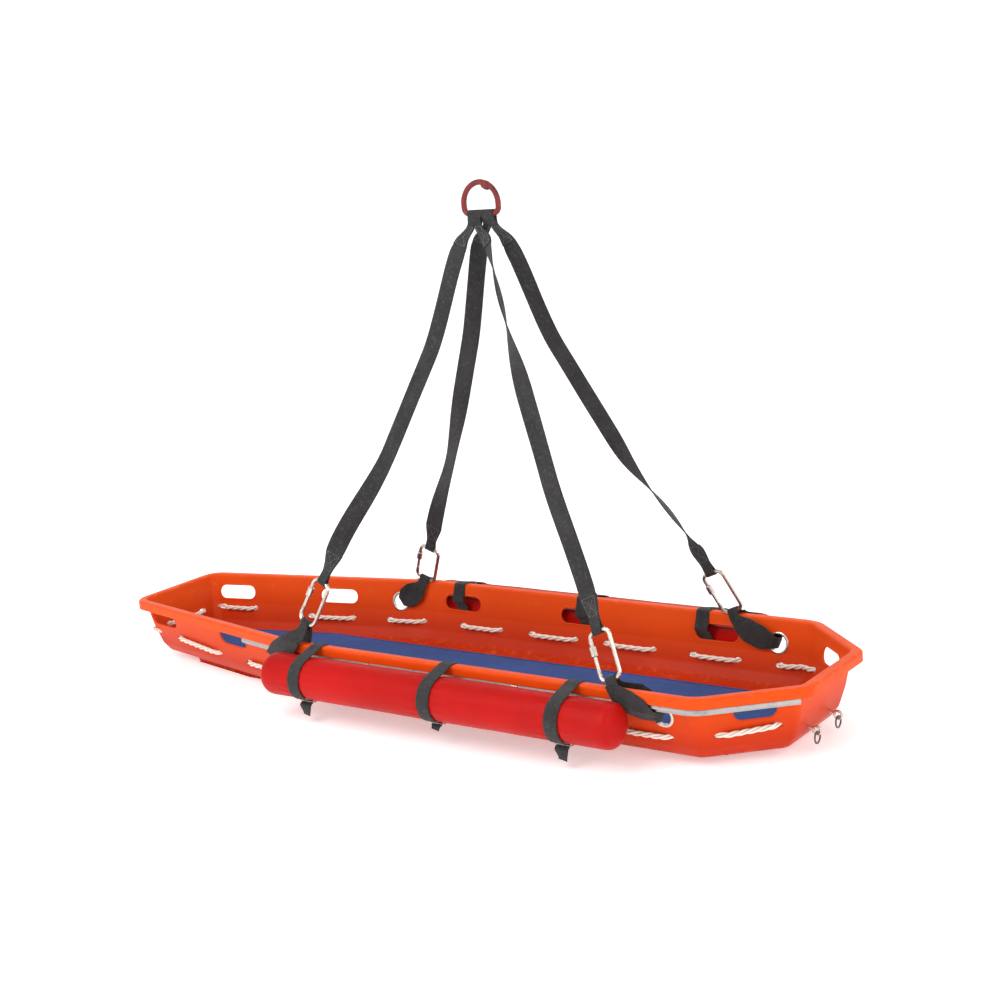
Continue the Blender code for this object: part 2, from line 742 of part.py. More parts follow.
def floats():
    half = FLOAT_LENGTH / 2
    end = [(FLOAT_RADIUS * sin(radians(angle)),
            half - FLOAT_END_ROUND + FLOAT_END_ROUND * cos(radians(angle)))
           for angle in (0, 25, 48, 68, 90)]
    profile = end + [(radius, -height) for radius, height in reversed(end)]
    for side, side_sign in SIDES:
        place = Matrix.Translation((FLOAT_PLACE, side_sign * float_centre_distance(),
                                    FLOAT_CENTRE_HEIGHT))
        turned_object("float_" + side, profile, 20, RED_FOAM, place @ Matrix.Rotation(pi / 2, 4, "Y"))


# Float straps and their buckles

def tangent_angle(first, first_radius, second, second_radius, crossed):
    """Bearing in degrees of the tangent that leaves one circle for the next, on its outer side."""
    away = Vector(second) - Vector(first)
    reach = first_radius + second_radius if crossed else first_radius - second_radius
    return degrees(atan2(away.y, away.x) + acos(reach / away.length))


def strap_path(tail):
    """Centre line in the section plane: x is the distance outward, y the height."""
    half = STRAP_THICKNESS / 2
    outer = HULL_WIDTH / 2
    centre = (float_centre_distance(), FLOAT_CENTRE_HEIGHT)
    lap = FLOAT_RADIUS + half + FIT_GAP
    lip_lap = LIP_ROUND + half + FIT_GAP
    bar_lap = BUCKLE_WIRE_RADIUS + half + FIT_GAP
    inner_bar = (centre[0] - BUCKLE_LENGTH / 2, centre[1] - lap - bar_lap)
    outer_bar = (centre[0] + BUCKLE_LENGTH / 2, centre[1] - lap - bar_lap)
    lip_inner = (outer - LIP_WIDTH + LIP_ROUND, RIM_HEIGHT - LIP_ROUND)
    lip_outer = (outer - LIP_ROUND, RIM_HEIGHT - LIP_ROUND)
    over_float = tangent_angle(lip_outer, lip_lap, centre, lap, False)
    to_bar = tangent_angle(centre, lap, outer_bar, bar_lap, True)
    sill = HAND_HOLE_CENTRE_HEIGHT
    wall_top = RIM_HEIGHT - UPPER_WALL_DROP
    face_top = outer - wall_inset(wall_top) - half - FIT_GAP
    face_low = outer - wall_inset(sill) - half - FIT_GAP
    slack = STRAP_THICKNESS * 2.5
    path = arc(inner_bar, bar_lap, -110, -to_bar, 6)
    path += arc(centre, lap, 180 - to_bar, 200, 4)
    path += [(face_low + 2 * WALL, sill - slack), (face_low - slack, sill + slack)]
    path += [(face_low - half, sill + 3 * slack), (face_top, wall_top)]
    path += arc(lip_inner, lip_lap, 165, 90, 3) + arc(lip_outer, lip_lap, 90, over_float, 1)
    path += arc(centre, lap, over_float, to_bar, 18)
    path += arc(outer_bar, bar_lap, 180 + to_bar, 262, 5)
    end = path[-1]
    path += [(end[0] + 0.005, end[1] - 0.0015), (end[0] + 0.009, end[1] - 0.006)]
    path.append((end[0] + 0.011, end[1] - 0.006 - tail))
    return path


def section_matrix(place, side_sign):
    """Local X outward from the middle plane, local Y up, local Z along the hull."""
    outward = Vector((0.0, side_sign, 0.0))
    up = Vector((0.0, 0.0, 1.0))
    return frame_matrix(outward, up, outward.cross(up), Vector((place, 0.0, 0.0)))


def float_straps():
    for side, side_sign in SIDES:
        for number, (place, tail) in enumerate(zip(STRAP_PLACES, STRAP_TAILS), 1):
            name = f"float_strap_{side}_{number}"
            mesh = flat_mesh(name, [ribbon_outline(strap_path(tail), STRAP_THICKNESS)], STRAP_WIDTH)
            add_object(name, mesh, WEBBING, section_matrix(place, side_sign))


def strap_buckles():
    """A rectangular wire ring under each float joins the two ends of its strap."""
    half = BUCKLE_LENGTH / 2
    reach = STRAP_WIDTH / 2 + 2 * BUCKLE_WIRE_RADIUS
    turn = BUCKLE_WIRE_RADIUS * 1.5
    drop = FLOAT_RADIUS + BUCKLE_WIRE_RADIUS + STRAP_THICKNESS + 2 * FIT_GAP
    for side, side_sign in SIDES:
        centre = Vector((0.0, side_sign * float_centre_distance(), FLOAT_CENTRE_HEIGHT - drop))
        flat = []
        for x_sign, y_sign, start in ((1, 1, 0), (-1, 1, 90), (-1, -1, 180), (1, -1, 270)):
            corner = (x_sign * (reach - turn), y_sign * (half - turn))
            flat += arc(corner, turn, start, start + 90, 2)
        for number, place in enumerate(STRAP_PLACES, 1):
            name = f"strap_buckle_{side}_{number}"
            points = [Vector((place + x, centre.y + y, centre.z)) for x, y in flat]
            add_object(name, tube_mesh(name, points, BUCKLE_WIRE_RADIUS, closed=True,
                                       bevel_resolution=1), STEEL)


# Lifting eyelets, pads and carabiners

def grommets():
    face = WALL / 2 + FIT_GAP
    flange = face + GROMMET_THICKNESS
    barrel = EYELET_RADIUS - FIT_GAP
    profile = [(GROMMET_BORE, flange), (GROMMET_FLANGE_RADIUS, flange), (GROMMET_FLANGE_RADIUS, face),
               (barrel, face), (barrel, -face), (GROMMET_FLANGE_RADIUS, -face),
               (GROMMET_FLANGE_RADIUS, -flange), (GROMMET_BORE, -flange)]
    for end, side, _, side_sign in CORNERS:
        turned_object(f"grommet_{end}_{side}", profile, 16, NICKEL,
                      wall_matrix(eyelet_place(end), side_sign, EYELET_HEIGHT, True))


class Corner:
    """Where the pad, carabiner and sling leg of one corner lie."""

    def __init__(self, end, side, end_sign, side_sign):
        self.name = f"{end}_{side}"
        self.eyelet, along, self.outward = wall_frame(eyelet_place(end), side_sign, EYELET_HEIGHT)
        self.along = along * -end_sign
        self.up = Vector((0.0, 0.0, 1.0))
        self.run, self.rise, self.bar_out = PAD_BARS[self.name]
        self.lower_bar = (self.eyelet + self.along * self.run + self.up * self.rise
                          + self.outward * self.bar_out)
        order = (1.0 if side == "far" else -1.0) + end_sign / 2
        self.ring_eye = Vector((RING_PLACE + order * LEG_RING_PITCH, 0.0, RING_BAR_HEIGHT))
        self.pull = (self.ring_eye - self.lower_bar).normalized()
        self.upper_bar = self.lower_bar + self.pull * CARABINER_LENGTH
        flat_pull = Vector((self.pull.dot(self.along), self.pull.z)).normalized()
        self.flat_pull = flat_pull
        self.bar = self.along * flat_pull.y - self.up * flat_pull.x
        if self.bar.x < 0:
            self.bar = -self.bar
        self.spine = self.pad_spine()

    def pad_spine(self):
        """The pad's middle line in the plane of the wall, from the eyelet to the lower bar."""
        bar = Vector((self.run, self.rise))
        stop = bar - self.flat_pull * PAD_TOP_STRAIGHT
        bend = bar - self.flat_pull * self.rise / 2
        steps = 24
        line = []
        for step in range(steps + 1):
            share = step / steps
            line.append(bend * 2 * share * (1 - share) + stop * share ** 2)
        line.append(bar)
        return line

    def pad_point(self, along, across, out):
        """World point of the pad: along its length, across its width, out from the wall."""
        lengths = path_lengths(self.spine)
        index = 0
        while index < len(lengths) - 2 and lengths[index + 1] < along:
            index += 1
        direction = (self.spine[index + 1] - self.spine[index]).normalized()
        flat = self.spine[index] + direction * (along - lengths[index])
        flat += Vector((direction.y, -direction.x)) * across
        return self.eyelet + self.along * flat.x + self.up * flat.y + self.outward * out

    def pad_length(self):
        return path_lengths(self.spine)[-1]

    def carabiner_matrix(self):
        return frame_matrix(self.bar, self.pull.cross(self.bar), self.pull, self.lower_bar)


def pad_width(along, length):
    grown = PAD_EYELET_WIDTH + (PAD_WIDTH - PAD_EYELET_WIDTH) * smooth(along / (0.32 * length))
    closed = smooth((length - along - 0.012) / (0.38 * length))
    return min(grown, PAD_TOP_WIDTH + (PAD_WIDTH - PAD_TOP_WIDTH) * closed)


def pad_limits():
    """How far out the pad's branches must stay from the wall's middle beside the lip."""
    lip = middle_inset(EYELET_HEIGHT)
    outer = lip + PAD_THICKNESS / 2 + 2 * FIT_GAP
    inner = lip - LIP_WIDTH - PAD_THICKNESS / 2 - 2 * FIT_GAP
    return outer, inner


def pad_path(length, bar_out):
    """Closed centre line of the webbing loop: along the pad, and out from the wall."""
    lap = CARABINER_ROD_RADIUS + PAD_THICKNESS / 2 + FIT_GAP
    outer, _ = pad_limits()
    inner = -PAD_INNER_REACH
    foot = 0.024
    top = length - 0.004
    outer_end = bar_out + lap
    inner_end = bar_out - lap
    outer_run = []
    inner_run = []
    for step in range(PAD_STATIONS + 1):
        share = step / PAD_STATIONS
        along = foot + (top - foot) * share
        lean = max(0.0, (share - 0.5) / 0.5)
        outer_run.append((along, outer + (outer_end - outer) * lean))
        inner_run.append((along, inner + (inner_end - inner) * lean))
    path = [(0.0, 0.004), (0.003, 0.018), (0.009, 0.030)] + outer_run
    path += arc((length, bar_out), lap, 72, -72, 4)
    path += inner_run[::-1] + [(0.010, inner * 0.75), (0.003, inner * 0.4)]
    return path


def beside_lip(out, height, bar_out):
    """Leads the pad's branches round the lip and rail, and between the rail and the float."""
    outer, inner = pad_limits()
    low = RAIL_HEIGHT - RAIL_RADIUS - PAD_THICKNESS
    high = RIM_HEIGHT + 2 * PAD_THICKNESS
    if height > high:
        return out
    if out < bar_out:
        return min(out, inner) if height > low else out
    beside_rail = outer - RAIL_INSET + RAIL_RADIUS
    if height < low:
        return min(out, beside_rail - (low - height))
    return max(out, outer if height > RAIL_HEIGHT - PAD_THICKNESS else beside_rail)


def lifting_pad(corner):
    length = corner.pad_length()
    path = [Vector(point) for point in pad_path(length, corner.bar_out)]
    following = path[1:] + path[:1]
    preceding = path[-1:] + path[:-1]
    cells = []
    for index in range(len(path)):
        after = (index + 1) % len(path)
        cells.append(((index, -1.0), (after, -1.0), (after, 1.0), (index, 1.0)))
    mesh = cells_mesh(cells, PAD_COLUMNS)
    for vertex in mesh.vertices:
        index = round(vertex.co.x)
        along, out = path[index]
        direction = (following[index] - preceding[index]).normalized()
        reach = vertex.co.y * PAD_THICKNESS / 2
        across = vertex.co.z * pad_width(along, length)
        height = corner.pad_point(along, across, out).z
        out = beside_lip(out, height, corner.bar_out)
        vertex.co = corner.pad_point(along - direction.y * reach, across, out + direction.x * reach)
    face_outward(mesh)
    add_object("lifting_pad_" + corner.name, mesh, WEBBING)


def face_outward(mesh):
    shape = bmesh.new()
    shape.from_mesh(mesh)
    if shape.calc_volume(signed=True) < 0:
        bmesh.ops.reverse_faces(shape, faces=shape.faces)
    shape.to_mesh(mesh)
    shape.free()


def carabiner_line():
    """Rod centre line in the carabiner's plane, from the hinge round to the nose."""
    half = CARABINER_WIDTH / 2
    turn = CARABINER_CORNER
    top = CARABINER_LENGTH
    line = [(-half, GATE_PIN_HEIGHT + HINGE_CHEEK_RISE)]
    line += arc((-half + turn, turn), turn, 180, 270, 4) + arc((half - turn, turn), turn, 270, 360, 4)
    line += arc((half - turn, top - turn), turn, 0, 90, 4)
    line += arc((-half + turn, top - turn), turn, 90, 180, 4)
    line.append((-half, NOSE_HEIGHT))
    return line


def pin_matrix():
    place = Matrix.Translation((-CARABINER_WIDTH / 2, 0.0, GATE_PIN_HEIGHT))
    return place @ Matrix.Rotation(pi / 2, 4, "X")


def carabiner_meshes():
    points = [Vector((x, 0.0, z)) for x, z in carabiner_line()]
    body = tube_mesh("carabiner_body", points, CARABINER_ROD_RADIUS)
    slot = bmesh.new()
    slot_top = GATE_PIN_HEIGHT + HINGE_CHEEK_RISE + 0.002
    slot_foot = GATE_PIN_HEIGHT - HINGE_SLOT_DROP
    bmesh.ops.create_cube(slot, size=1.0, matrix=Matrix.Translation(
        (-CARABINER_WIDTH / 2, 0.0, (slot_top + slot_foot) / 2)) @ Matrix.Diagonal(
        (4 * CARABINER_ROD_RADIUS, GATE_SLOT, slot_top - slot_foot, 1.0)))
    hole = cylinder_mesh("hinge_hole", GATE_PIN_RADIUS + PIN_CLEARANCE, 4 * CARABINER_ROD_RADIUS, 8,
                         pin_matrix())
    return body, mesh_from(slot, "hinge_slot"), hole


def gate_mesh_parts():
    """Gate rod and its tongue, with the pin's axis as origin."""
    top = NOSE_HEIGHT - NOSE_GAP - GATE_PIN_HEIGHT
    middle = (top + GATE_ROD_START) / 2
    rod = cylinder_mesh("carabiner_gate", GATE_ROD_RADIUS, top - GATE_ROD_START, 10,
                        Matrix.Translation((0.0, 0.0, middle)))
    reach = GATE_ROD_START + 0.002
    outline = arc((0.0, 0.0), GATE_TONGUE_RADIUS, 180, 360, 6)
    outline += [(GATE_TONGUE_RADIUS * 0.9, reach), (-GATE_TONGUE_RADIUS * 0.9, reach)]
    shape = bmesh.new()
    prism(shape, outline, GATE_TONGUE, Matrix.Rotation(pi / 2, 4, "X"))
    return rod, mesh_from(shape, "gate_tongue")


def carabiners(corners):
    body_mesh, slot_mesh, hole_mesh = carabiner_meshes()
    rod_mesh, tongue_mesh = gate_mesh_parts()
    pin_mesh = cylinder_mesh("carabiner_pin", GATE_PIN_RADIUS, 2 * CARABINER_ROD_RADIUS - 0.001, 8,
                             Matrix.Rotation(pi / 2, 4, "X"))
    bore_mesh = cylinder_mesh("gate_bore", GATE_PIN_RADIUS + PIN_CLEARANCE, 4 * CARABINER_ROD_RADIUS,
                              8, Matrix.Rotation(pi / 2, 4, "X"))
    sleeve_top = NOSE_HEIGHT - SLEEVE_TOP_GAP
    for corner in corners:
        place = corner.carabiner_matrix()
        pin_place = place @ Matrix.Translation((-CARABINER_WIDTH / 2, 0.0, GATE_PIN_HEIGHT))
        body = add_object("carabiner_body_" + corner.name, body_mesh.copy(), STEEL, place)
        for mesh in (slot_mesh, hole_mesh):
            cutter = add_cutter(f"{mesh.name}_{corner.name}", mesh)
            cutter.matrix_world = place
            boolean(body, cutter)
        gate = add_object("carabiner_gate_" + corner.name, rod_mesh.copy(), STEEL, pin_place)
        for mesh, operation in ((tongue_mesh, "UNION"), (bore_mesh, "DIFFERENCE")):
            cutter = add_cutter(f"{mesh.name}_{corner.name}", mesh)
            cutter.matrix_world = pin_place
            boolean(gate, cutter, operation)
        add_object("carabiner_pin_" + corner.name, pin_mesh.copy(), STEEL, pin_place)
        half = SLEEVE_LENGTH / 2
        profile = [(SLEEVE_BORE, half), (SLEEVE_RADIUS - 0.001, half), (SLEEVE_RADIUS, half - 0.001),
                   (SLEEVE_RADIUS, -half + 0.001), (SLEEVE_RADIUS - 0.001, -half), (SLEEVE_BORE, -half)]
        middle = Vector((-CARABINER_WIDTH / 2, 0.0, sleeve_top - half))
        turned_object("carabiner_sleeve_" + corner.name, profile, 12, STEEL,
                      place @ Matrix.Translation(middle))


# Bridle

def master_ring():
    flat = []
    for x_sign, start in ((-1, 180), (1, 270)):
        flat += arc((x_sign * (RING_HALF_WIDTH - RING_CORNER), RING_CORNER), RING_CORNER, start,
                    start + 90, 3)
    flat += arc((0.0, RING_HEIGHT - RING_HALF_WIDTH), RING_HALF_WIDTH, 0, 180, 12)
    points = [Vector((x, 0.0, z)) for x, z in flat]
    add_object("master_ring", tube_mesh("master_ring", points, RING_BAR_RADIUS, closed=True),
               RED_STEEL, Matrix.Translation((RING_PLACE, 0.0, RING_BAR_HEIGHT)))


def leg_frame(corner):
    """Direction, length and turning axes of a sling leg, from the ring to the upper bar."""
    span = corner.upper_bar - corner.ring_eye
    length = span.length
    down = span / length
    along_ring = Vector((1.0, 0.0, 0.0))
    first = (along_ring - down * along_ring.dot(down)).normalized()
    second = down.cross(first)
    bar_angle = atan2(corner.bar.dot(second), corner.bar.dot(first))
    return down, length, along_ring, first, second, bar_angle


def leg_point(frame, corner, along, out, across):
    """World point of a leg; its width turns from the ring's bar to the carabiner's bar."""
    down, length, along_ring, first, second, bar_angle = frame
    degrees_turned, centre = LEG_TWISTS[corner.name]
    bump = smooth(1.0 - abs(along / length - centre) / LEG_TWIST_REACH)
    bump *= smooth((length - along - LEG_NECK) / LEG_SEWN_LENGTH)
    angle = bar_angle * smooth(along / length) + radians(degrees_turned) * bump
    twisted = first * cos(angle) + second * sin(angle)
    leave_ring = smooth((along - 0.020) / 0.08)
    width_way = along_ring * (1 - leave_ring) + twisted * leave_ring
    thick_way = down.cross(width_way).normalized()
    square_eye = along_ring * down.dot(along_ring) * along * smooth((LEG_SQUARE_TO - along) / 0.045)
    return corner.ring_eye + down * along - square_eye + thick_way * out + width_way * across


def leg_width(along, length):
    flare = LEG_RING_WIDTH + (LEG_WIDTH - LEG_RING_WIDTH) * smooth((along - 0.015) / LEG_FLARE)
    gather = smooth((length - along - 0.020) / (LEG_FLARE / 2))
    return min(flare, LEG_CARABINER_WIDTH + (LEG_WIDTH - LEG_CARABINER_WIDTH) * gather)


def leg_eye(centre, hole, toward, stretch):
    """Flat cells round one eye and the corners where the strap starts; x runs along the leg."""
    inner = []
    outer = []
    for angle in range(60, 301, 30):
        x = toward * cos(radians(angle)) / stretch
        y = sin(radians(angle))
        inner.append((centre + hole * x, hole * y))
        outer.append((centre + (hole + LEG_EYE_WEBBING) * x, (hole + LEG_EYE_WEBBING) * y))
    tip = (centre + toward * LEG_EYE_TIP, 0.0)
    upper = (centre + toward * LEG_NECK, LEG_SEWN_THICKNESS / 2)
    lower = (centre + toward * LEG_NECK, -LEG_SEWN_THICKNESS / 2)
    cells = [(outer[i], outer[i + 1], inner[i + 1], inner[i]) for i in range(len(outer) - 1)]
    cells += [(inner[0], outer[0], upper, tip), (tip, lower, outer[-1], inner[-1]),
              (tip, upper, lower)]
    return cells


def leg_cells(length, squeeze):
    """Side view of a leg in flat cells: a sewn eye at each end and a flat strap between them."""
    cells = leg_eye(0.0, RING_BAR_RADIUS + EYE_CLEARANCE, 1, squeeze)
    cells += leg_eye(length, CARABINER_ROD_RADIUS + EYE_CLEARANCE, -1, 1.0)
    sewn = LEG_SEWN_THICKNESS / 2
    plain = LEG_THICKNESS / 2
    step_off = LEG_SEWN_LENGTH + LEG_THICKNESS
    middle = (LEG_NECK + LEG_SEWN_LENGTH) / 2
    near_end = [(LEG_NECK, sewn), (middle, sewn), (LEG_SEWN_LENGTH, sewn), (step_off, plain)]
    plain_length = length - 2 * step_off
    sections = near_end + [(step_off + plain_length * step / LEG_STATIONS, plain)
                           for step in range(1, LEG_STATIONS)]
    sections += [(length - x, half) for x, half in reversed(near_end)]
    for (x_a, half_a), (x_b, half_b) in zip(sections, sections[1:]):
        cells.append(((x_a, -half_a), (x_b, -half_b), (x_b, half_b), (x_a, half_a)))
    return cells


def cells_mesh(cells, columns):
    """Flat cells welded together, given a unit depth along Z and cut into columns across it."""
    shape = bmesh.new()
    for cell in cells:
        shape.faces.new([shape.verts.new((*point, -0.5)) for point in cell])
    bmesh.ops.remove_doubles(shape, verts=shape.verts, dist=0.00001)
    bmesh.ops.recalc_face_normals(shape, faces=shape.faces)
    grown = bmesh.ops.extrude_face_region(shape, geom=shape.faces[:], use_keep_orig=True)["geom"]
    bmesh.ops.translate(shape, vec=(0.0, 0.0, 1.0),
                        verts=[v for v in grown if isinstance(v, bmesh.types.BMVert)])
    rungs = [edge for edge in shape.edges
             if abs(edge.verts[0].co.z - edge.verts[1].co.z) > 0.5]
    bmesh.ops.subdivide_edges(shape, edges=rungs, cuts=columns - 1, use_grid_fill=True)
    return mesh_from(shape, "cells")


def sling_leg(corner):
    frame = leg_frame(corner)
    down, length, along_ring = frame[:3]
    squeeze = sqrt(1.0 - down.dot(along_ring) ** 2)
    mesh = cells_mesh(leg_cells(length, squeeze), LEG_COLUMNS)
    for vertex in mesh.vertices:
        along, out, across = vertex.co
        vertex.co = leg_point(frame, corner, along, out, across * leg_width(along, length))
    face_outward(mesh)
    add_object("sling_leg_" + corner.name, mesh, WEBBING)


# Towing eye bolts in the head end wall

def bolt_frame(side_sign):
    """Matrix with local Z square out of the head end wall and local X across the hull."""
    lean = HEAD_WALL_LEAN * wall_slope(BOLT_HEIGHT)
    outward = Vector((1.0, 0.0, -lean)).normalized()
    across = Vector((0.0, 1.0, 0.0))
    place = HEAD - HEAD_WALL_LEAN * wall_inset(BOLT_HEIGHT)
    middle = Vector((place, side_sign * BOLT_SPACING / 2, BOLT_HEIGHT)) + outward * WALL / 2
    return frame_matrix(across, outward.cross(across), outward, middle)


def bolt_holes_mesh():
    shape = bmesh.new()
    for _, side_sign in SIDES:
        bmesh.ops.create_cone(shape, cap_ends=True, segments=8, radius1=BOLT_RADIUS + FIT_GAP,
                              radius2=BOLT_RADIUS + FIT_GAP, depth=8 * WALL,
                              matrix=bolt_frame(side_sign))
    return mesh_from(shape, "bolt_holes")


def towing_eyes():
    eye_height = BOLT_REACH + BOLT_EYE_RADIUS
    shank_length = BOLT_REACH + BOLT_INSIDE + BOLT_EYE_WIRE
    shank_middle = shank_length / 2 - BOLT_INSIDE
    eye_points = [Vector((0.0, y, eye_height + z))
                  for y, z in arc((0.0, 0.0), BOLT_EYE_RADIUS, 0, 330, 11)]
    nut = [arc((0.0, 0.0), NUT_RADIUS, 0, 300, 5), arc((0.0, 0.0), BOLT_RADIUS + FIT_GAP, 0, 315, 7)]
    for side, side_sign in SIDES:
        place = bolt_frame(side_sign)
        shank = cylinder_mesh("eye_bolt", BOLT_RADIUS, shank_length, 8,
                              Matrix.Translation((0.0, 0.0, shank_middle)))
        bolt = add_object("eye_bolt_" + side, shank, STEEL, place)
        eye = add_cutter("bolt_eye_" + side, tube_mesh("bolt_eye", eye_points, BOLT_EYE_WIRE,
                                                       closed=True, bevel_resolution=1))
        eye.matrix_world = place
        boolean(bolt, eye, "UNION")
        seat = -(WALL / 2 + FIT_GAP + NUT_THICKNESS / 2)
        add_object("bolt_nut_" + side, flat_mesh("bolt_nut", nut, NUT_THICKNESS), STEEL,
                   place @ Matrix.Translation((0.0, 0.0, seat)))
        eye_centre = place @ Vector((0.0, 0.0, eye_height))
        hang = BOLT_EYE_RADIUS - BOLT_EYE_WIRE - TOW_RING_WIRE - FIT_GAP
        ring = [Vector((0.0, y, z - TOW_RING_RADIUS))
                for y, z in arc((0.0, 0.0), TOW_RING_RADIUS, 0, 345, 15)]
        add_object("tow_ring_" + side, tube_mesh("tow_ring", ring, TOW_RING_WIRE, closed=True,
                                                 bevel_resolution=1), DARK_STEEL,
                   Matrix.Translation(eye_centre - Vector((0.0, 0.0, hang))))


def main():
    hull_shell()
    rim_rails()
    rail_clips()
    mattress()
    lacing_rope()
    floats()
    float_straps()
    strap_buckles()
    grommets()
    corners = [Corner(*corner) for corner in CORNERS]
    for corner in corners:
        lifting_pad(corner)
        sling_leg(corner)
    carabiners(corners)
    master_ring()
    towing_eyes()


main()
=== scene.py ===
"""Visual pieces, finishes and stage of a floating basket stretcher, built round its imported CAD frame.

All lengths are in metres. +X points to the head end, +Z up, and the near side is -Y.
"""

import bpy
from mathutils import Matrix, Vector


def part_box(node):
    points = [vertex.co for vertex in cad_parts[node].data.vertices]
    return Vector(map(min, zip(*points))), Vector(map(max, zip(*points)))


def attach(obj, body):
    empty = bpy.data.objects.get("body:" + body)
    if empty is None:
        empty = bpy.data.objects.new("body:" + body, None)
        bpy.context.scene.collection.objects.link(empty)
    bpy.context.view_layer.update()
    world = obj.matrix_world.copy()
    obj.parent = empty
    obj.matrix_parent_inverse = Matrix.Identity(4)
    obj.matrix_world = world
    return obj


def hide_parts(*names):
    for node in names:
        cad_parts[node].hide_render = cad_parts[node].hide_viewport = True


bl_info = {
    "name": "Basket stretcher",
    "version": (1, 0, 0),
    "blender": (4, 5, 0),
    "location": "3D View > Sidebar > Stretcher",
    "description": "Builds the moulded hull, webbing, rope, floats, pad and finishes of a basket stretcher",
    "category": "Object",
}

from math import acos, atan2, cos, degrees, exp, floor, pi, radians, sin, sqrt, tan

import bmesh
import bpy
from mathutils import Matrix, Vector, noise

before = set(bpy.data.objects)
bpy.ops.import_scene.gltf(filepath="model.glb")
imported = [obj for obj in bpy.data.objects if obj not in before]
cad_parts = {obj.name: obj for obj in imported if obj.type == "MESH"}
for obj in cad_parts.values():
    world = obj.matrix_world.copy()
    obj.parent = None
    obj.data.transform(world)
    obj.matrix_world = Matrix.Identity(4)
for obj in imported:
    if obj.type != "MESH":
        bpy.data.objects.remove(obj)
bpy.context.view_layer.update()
BODY = "stretcher"
UP = Vector((0.0, 0.0, 1.0))

# Hull plan and section, as in the part's source
HULL_LENGTH = 2.17
HULL_WIDTH = 0.64
FOOT_WIDTH = 0.33
HEAD_WIDTH = 0.28
TAPER_LENGTH = 0.765
CHAMFER_LENGTH = 0.20
CORNER_RADII = (0.055, 0.20, 0.09, 0.05)
SMALLEST_CORNER_RADIUS = 0.025
CORNER_STEPS = 10
FOOT = -HULL_LENGTH / 2
HEAD = HULL_LENGTH / 2
RIM_HEIGHT = 0.185
WALL = 0.0045
LIP_WIDTH = 0.026
LIP_DROP = 0.024
LIP_TO_WALL = 0.004
UPPER_WALL_DROP = 0.020
SHELF_HEIGHT = 0.100
SHELF_INSET = 0.043
LOWER_WALL_HEIGHT = 0.050
LOWER_WALL_INSET = 0.058
BILGE_HEIGHT = 0.026
BILGE_INSET = 0.074
FLOOR_INSET = 0.102
FOOT_WALL_LEAN = 0.8
HEAD_WALL_LEAN = 1.1
SKID_HEIGHT = 0.012
SKID_WIDTH = 0.045
SKID_SPACING = 0.27
SKID_BEND_PLACE = -0.295 * HULL_LENGTH
SKID_FOOT_PLACE = FOOT + 0.175
SKID_HEAD_PLACE = HEAD - 0.20
SKID_NOSE = 0.014
FLOOR_TOP = SKID_HEIGHT + WALL

HAND_HOLE_LENGTH = 0.130
HAND_HOLE_HEIGHT = 0.045
HAND_HOLE_CENTRE_HEIGHT = 0.133
HAND_HOLE_PLACES = tuple(share * HULL_LENGTH for share in (-0.4493, -0.288, -0.0968, 0.0876, 0.2811))
HEAD_HAND_HOLE_PLACE = HEAD - 0.113
HEAD_HAND_HOLE_LENGTH = 0.105
HOLE_BEAD_RADIUS = 0.0031

EYELET_PLACES = {"foot": FOOT + TAPER_LENGTH - 0.100, "head": HEAD - CHAMFER_LENGTH - 0.099}
EYELET_HEIGHT = 0.125
EYELET_RADIUS = 0.0235
GROMMET_BORE = 0.0215
GROMMET_FLANGE_RADIUS = 0.0285
GROMMET_THICKNESS = 0.0012

RAIL_RADIUS = 0.009
RAIL_INSET = 0.0125
RAIL_CLIP_THICKNESS = 0.0015
FIT_GAP = 0.0003
RAIL_HEIGHT = RIM_HEIGHT - LIP_DROP - RAIL_RADIUS - FIT_GAP

# Rope lacing, from the foot along one side, starting inside
ROPE_RADIUS = 0.0065
ROPE_HOLE_RADIUS = 0.0075
ROPE_WALL_CLEARANCE = 0.0020
ROPE_CROSSING_REACH = 0.020
ROPE_FOOT_CROSSING = 0.070
ROPE_HEAD_CROSSING_PLACE = HEAD - 0.085
ROPE_CROSSINGS = tuple(share * HULL_LENGTH for share in (
    -0.47, -0.4194, -0.33, -0.265, -0.2092, -0.159, -0.0949, -0.0346, 0.0157, 0.0816, 0.129, 0.1954,
    0.2507, 0.3111, 0.3654, 0.4147))
ROPE_HEIGHTS = ((FOOT, 0.090), (FOOT + 0.185, 0.087), (FOOT + 0.385, 0.072), (HEAD - 0.285, 0.072),
                (ROPE_HEAD_CROSSING_PLACE, 0.092), (HEAD, 0.092))
ROPE_STRANDS = 3
ROPE_STEP = 0.004
STRAND_SIDES = 8

# Side floats and their straps
FLOAT_RADIUS = 0.055
FLOAT_LENGTH = 1.072
FLOAT_PLACE = 0.0839 * HULL_LENGTH + 0.002
FLOAT_CENTRE_HEIGHT = 0.115
FLOAT_END_DEPTH = 0.036
FLOAT_END_SQUARENESS = 3.4
STRAP_WIDTH = 0.038
STRAP_THICKNESS = 0.0022
STRAP_OFFSETS = (-0.013, 0.007, -0.042)
STRAP_PLACES = tuple(hole + offset for hole, offset in zip(HAND_HOLE_PLACES[2:], STRAP_OFFSETS))
STRAP_TAILS = (0.024, 0.004, 0.024)
STRAP_TAIL_TURN = 0.3
STRAP_TAIL_BEND = ((0.005, 0.0015), (0.009, 0.006))
STRAP_TAIL_REACH = 0.011
STRAP_WALL_GAP = 0.0011
LIP_ROUND = 0.005
BUCKLE_WIRE_RADIUS = 0.0020
BUCKLE_LENGTH = 0.022

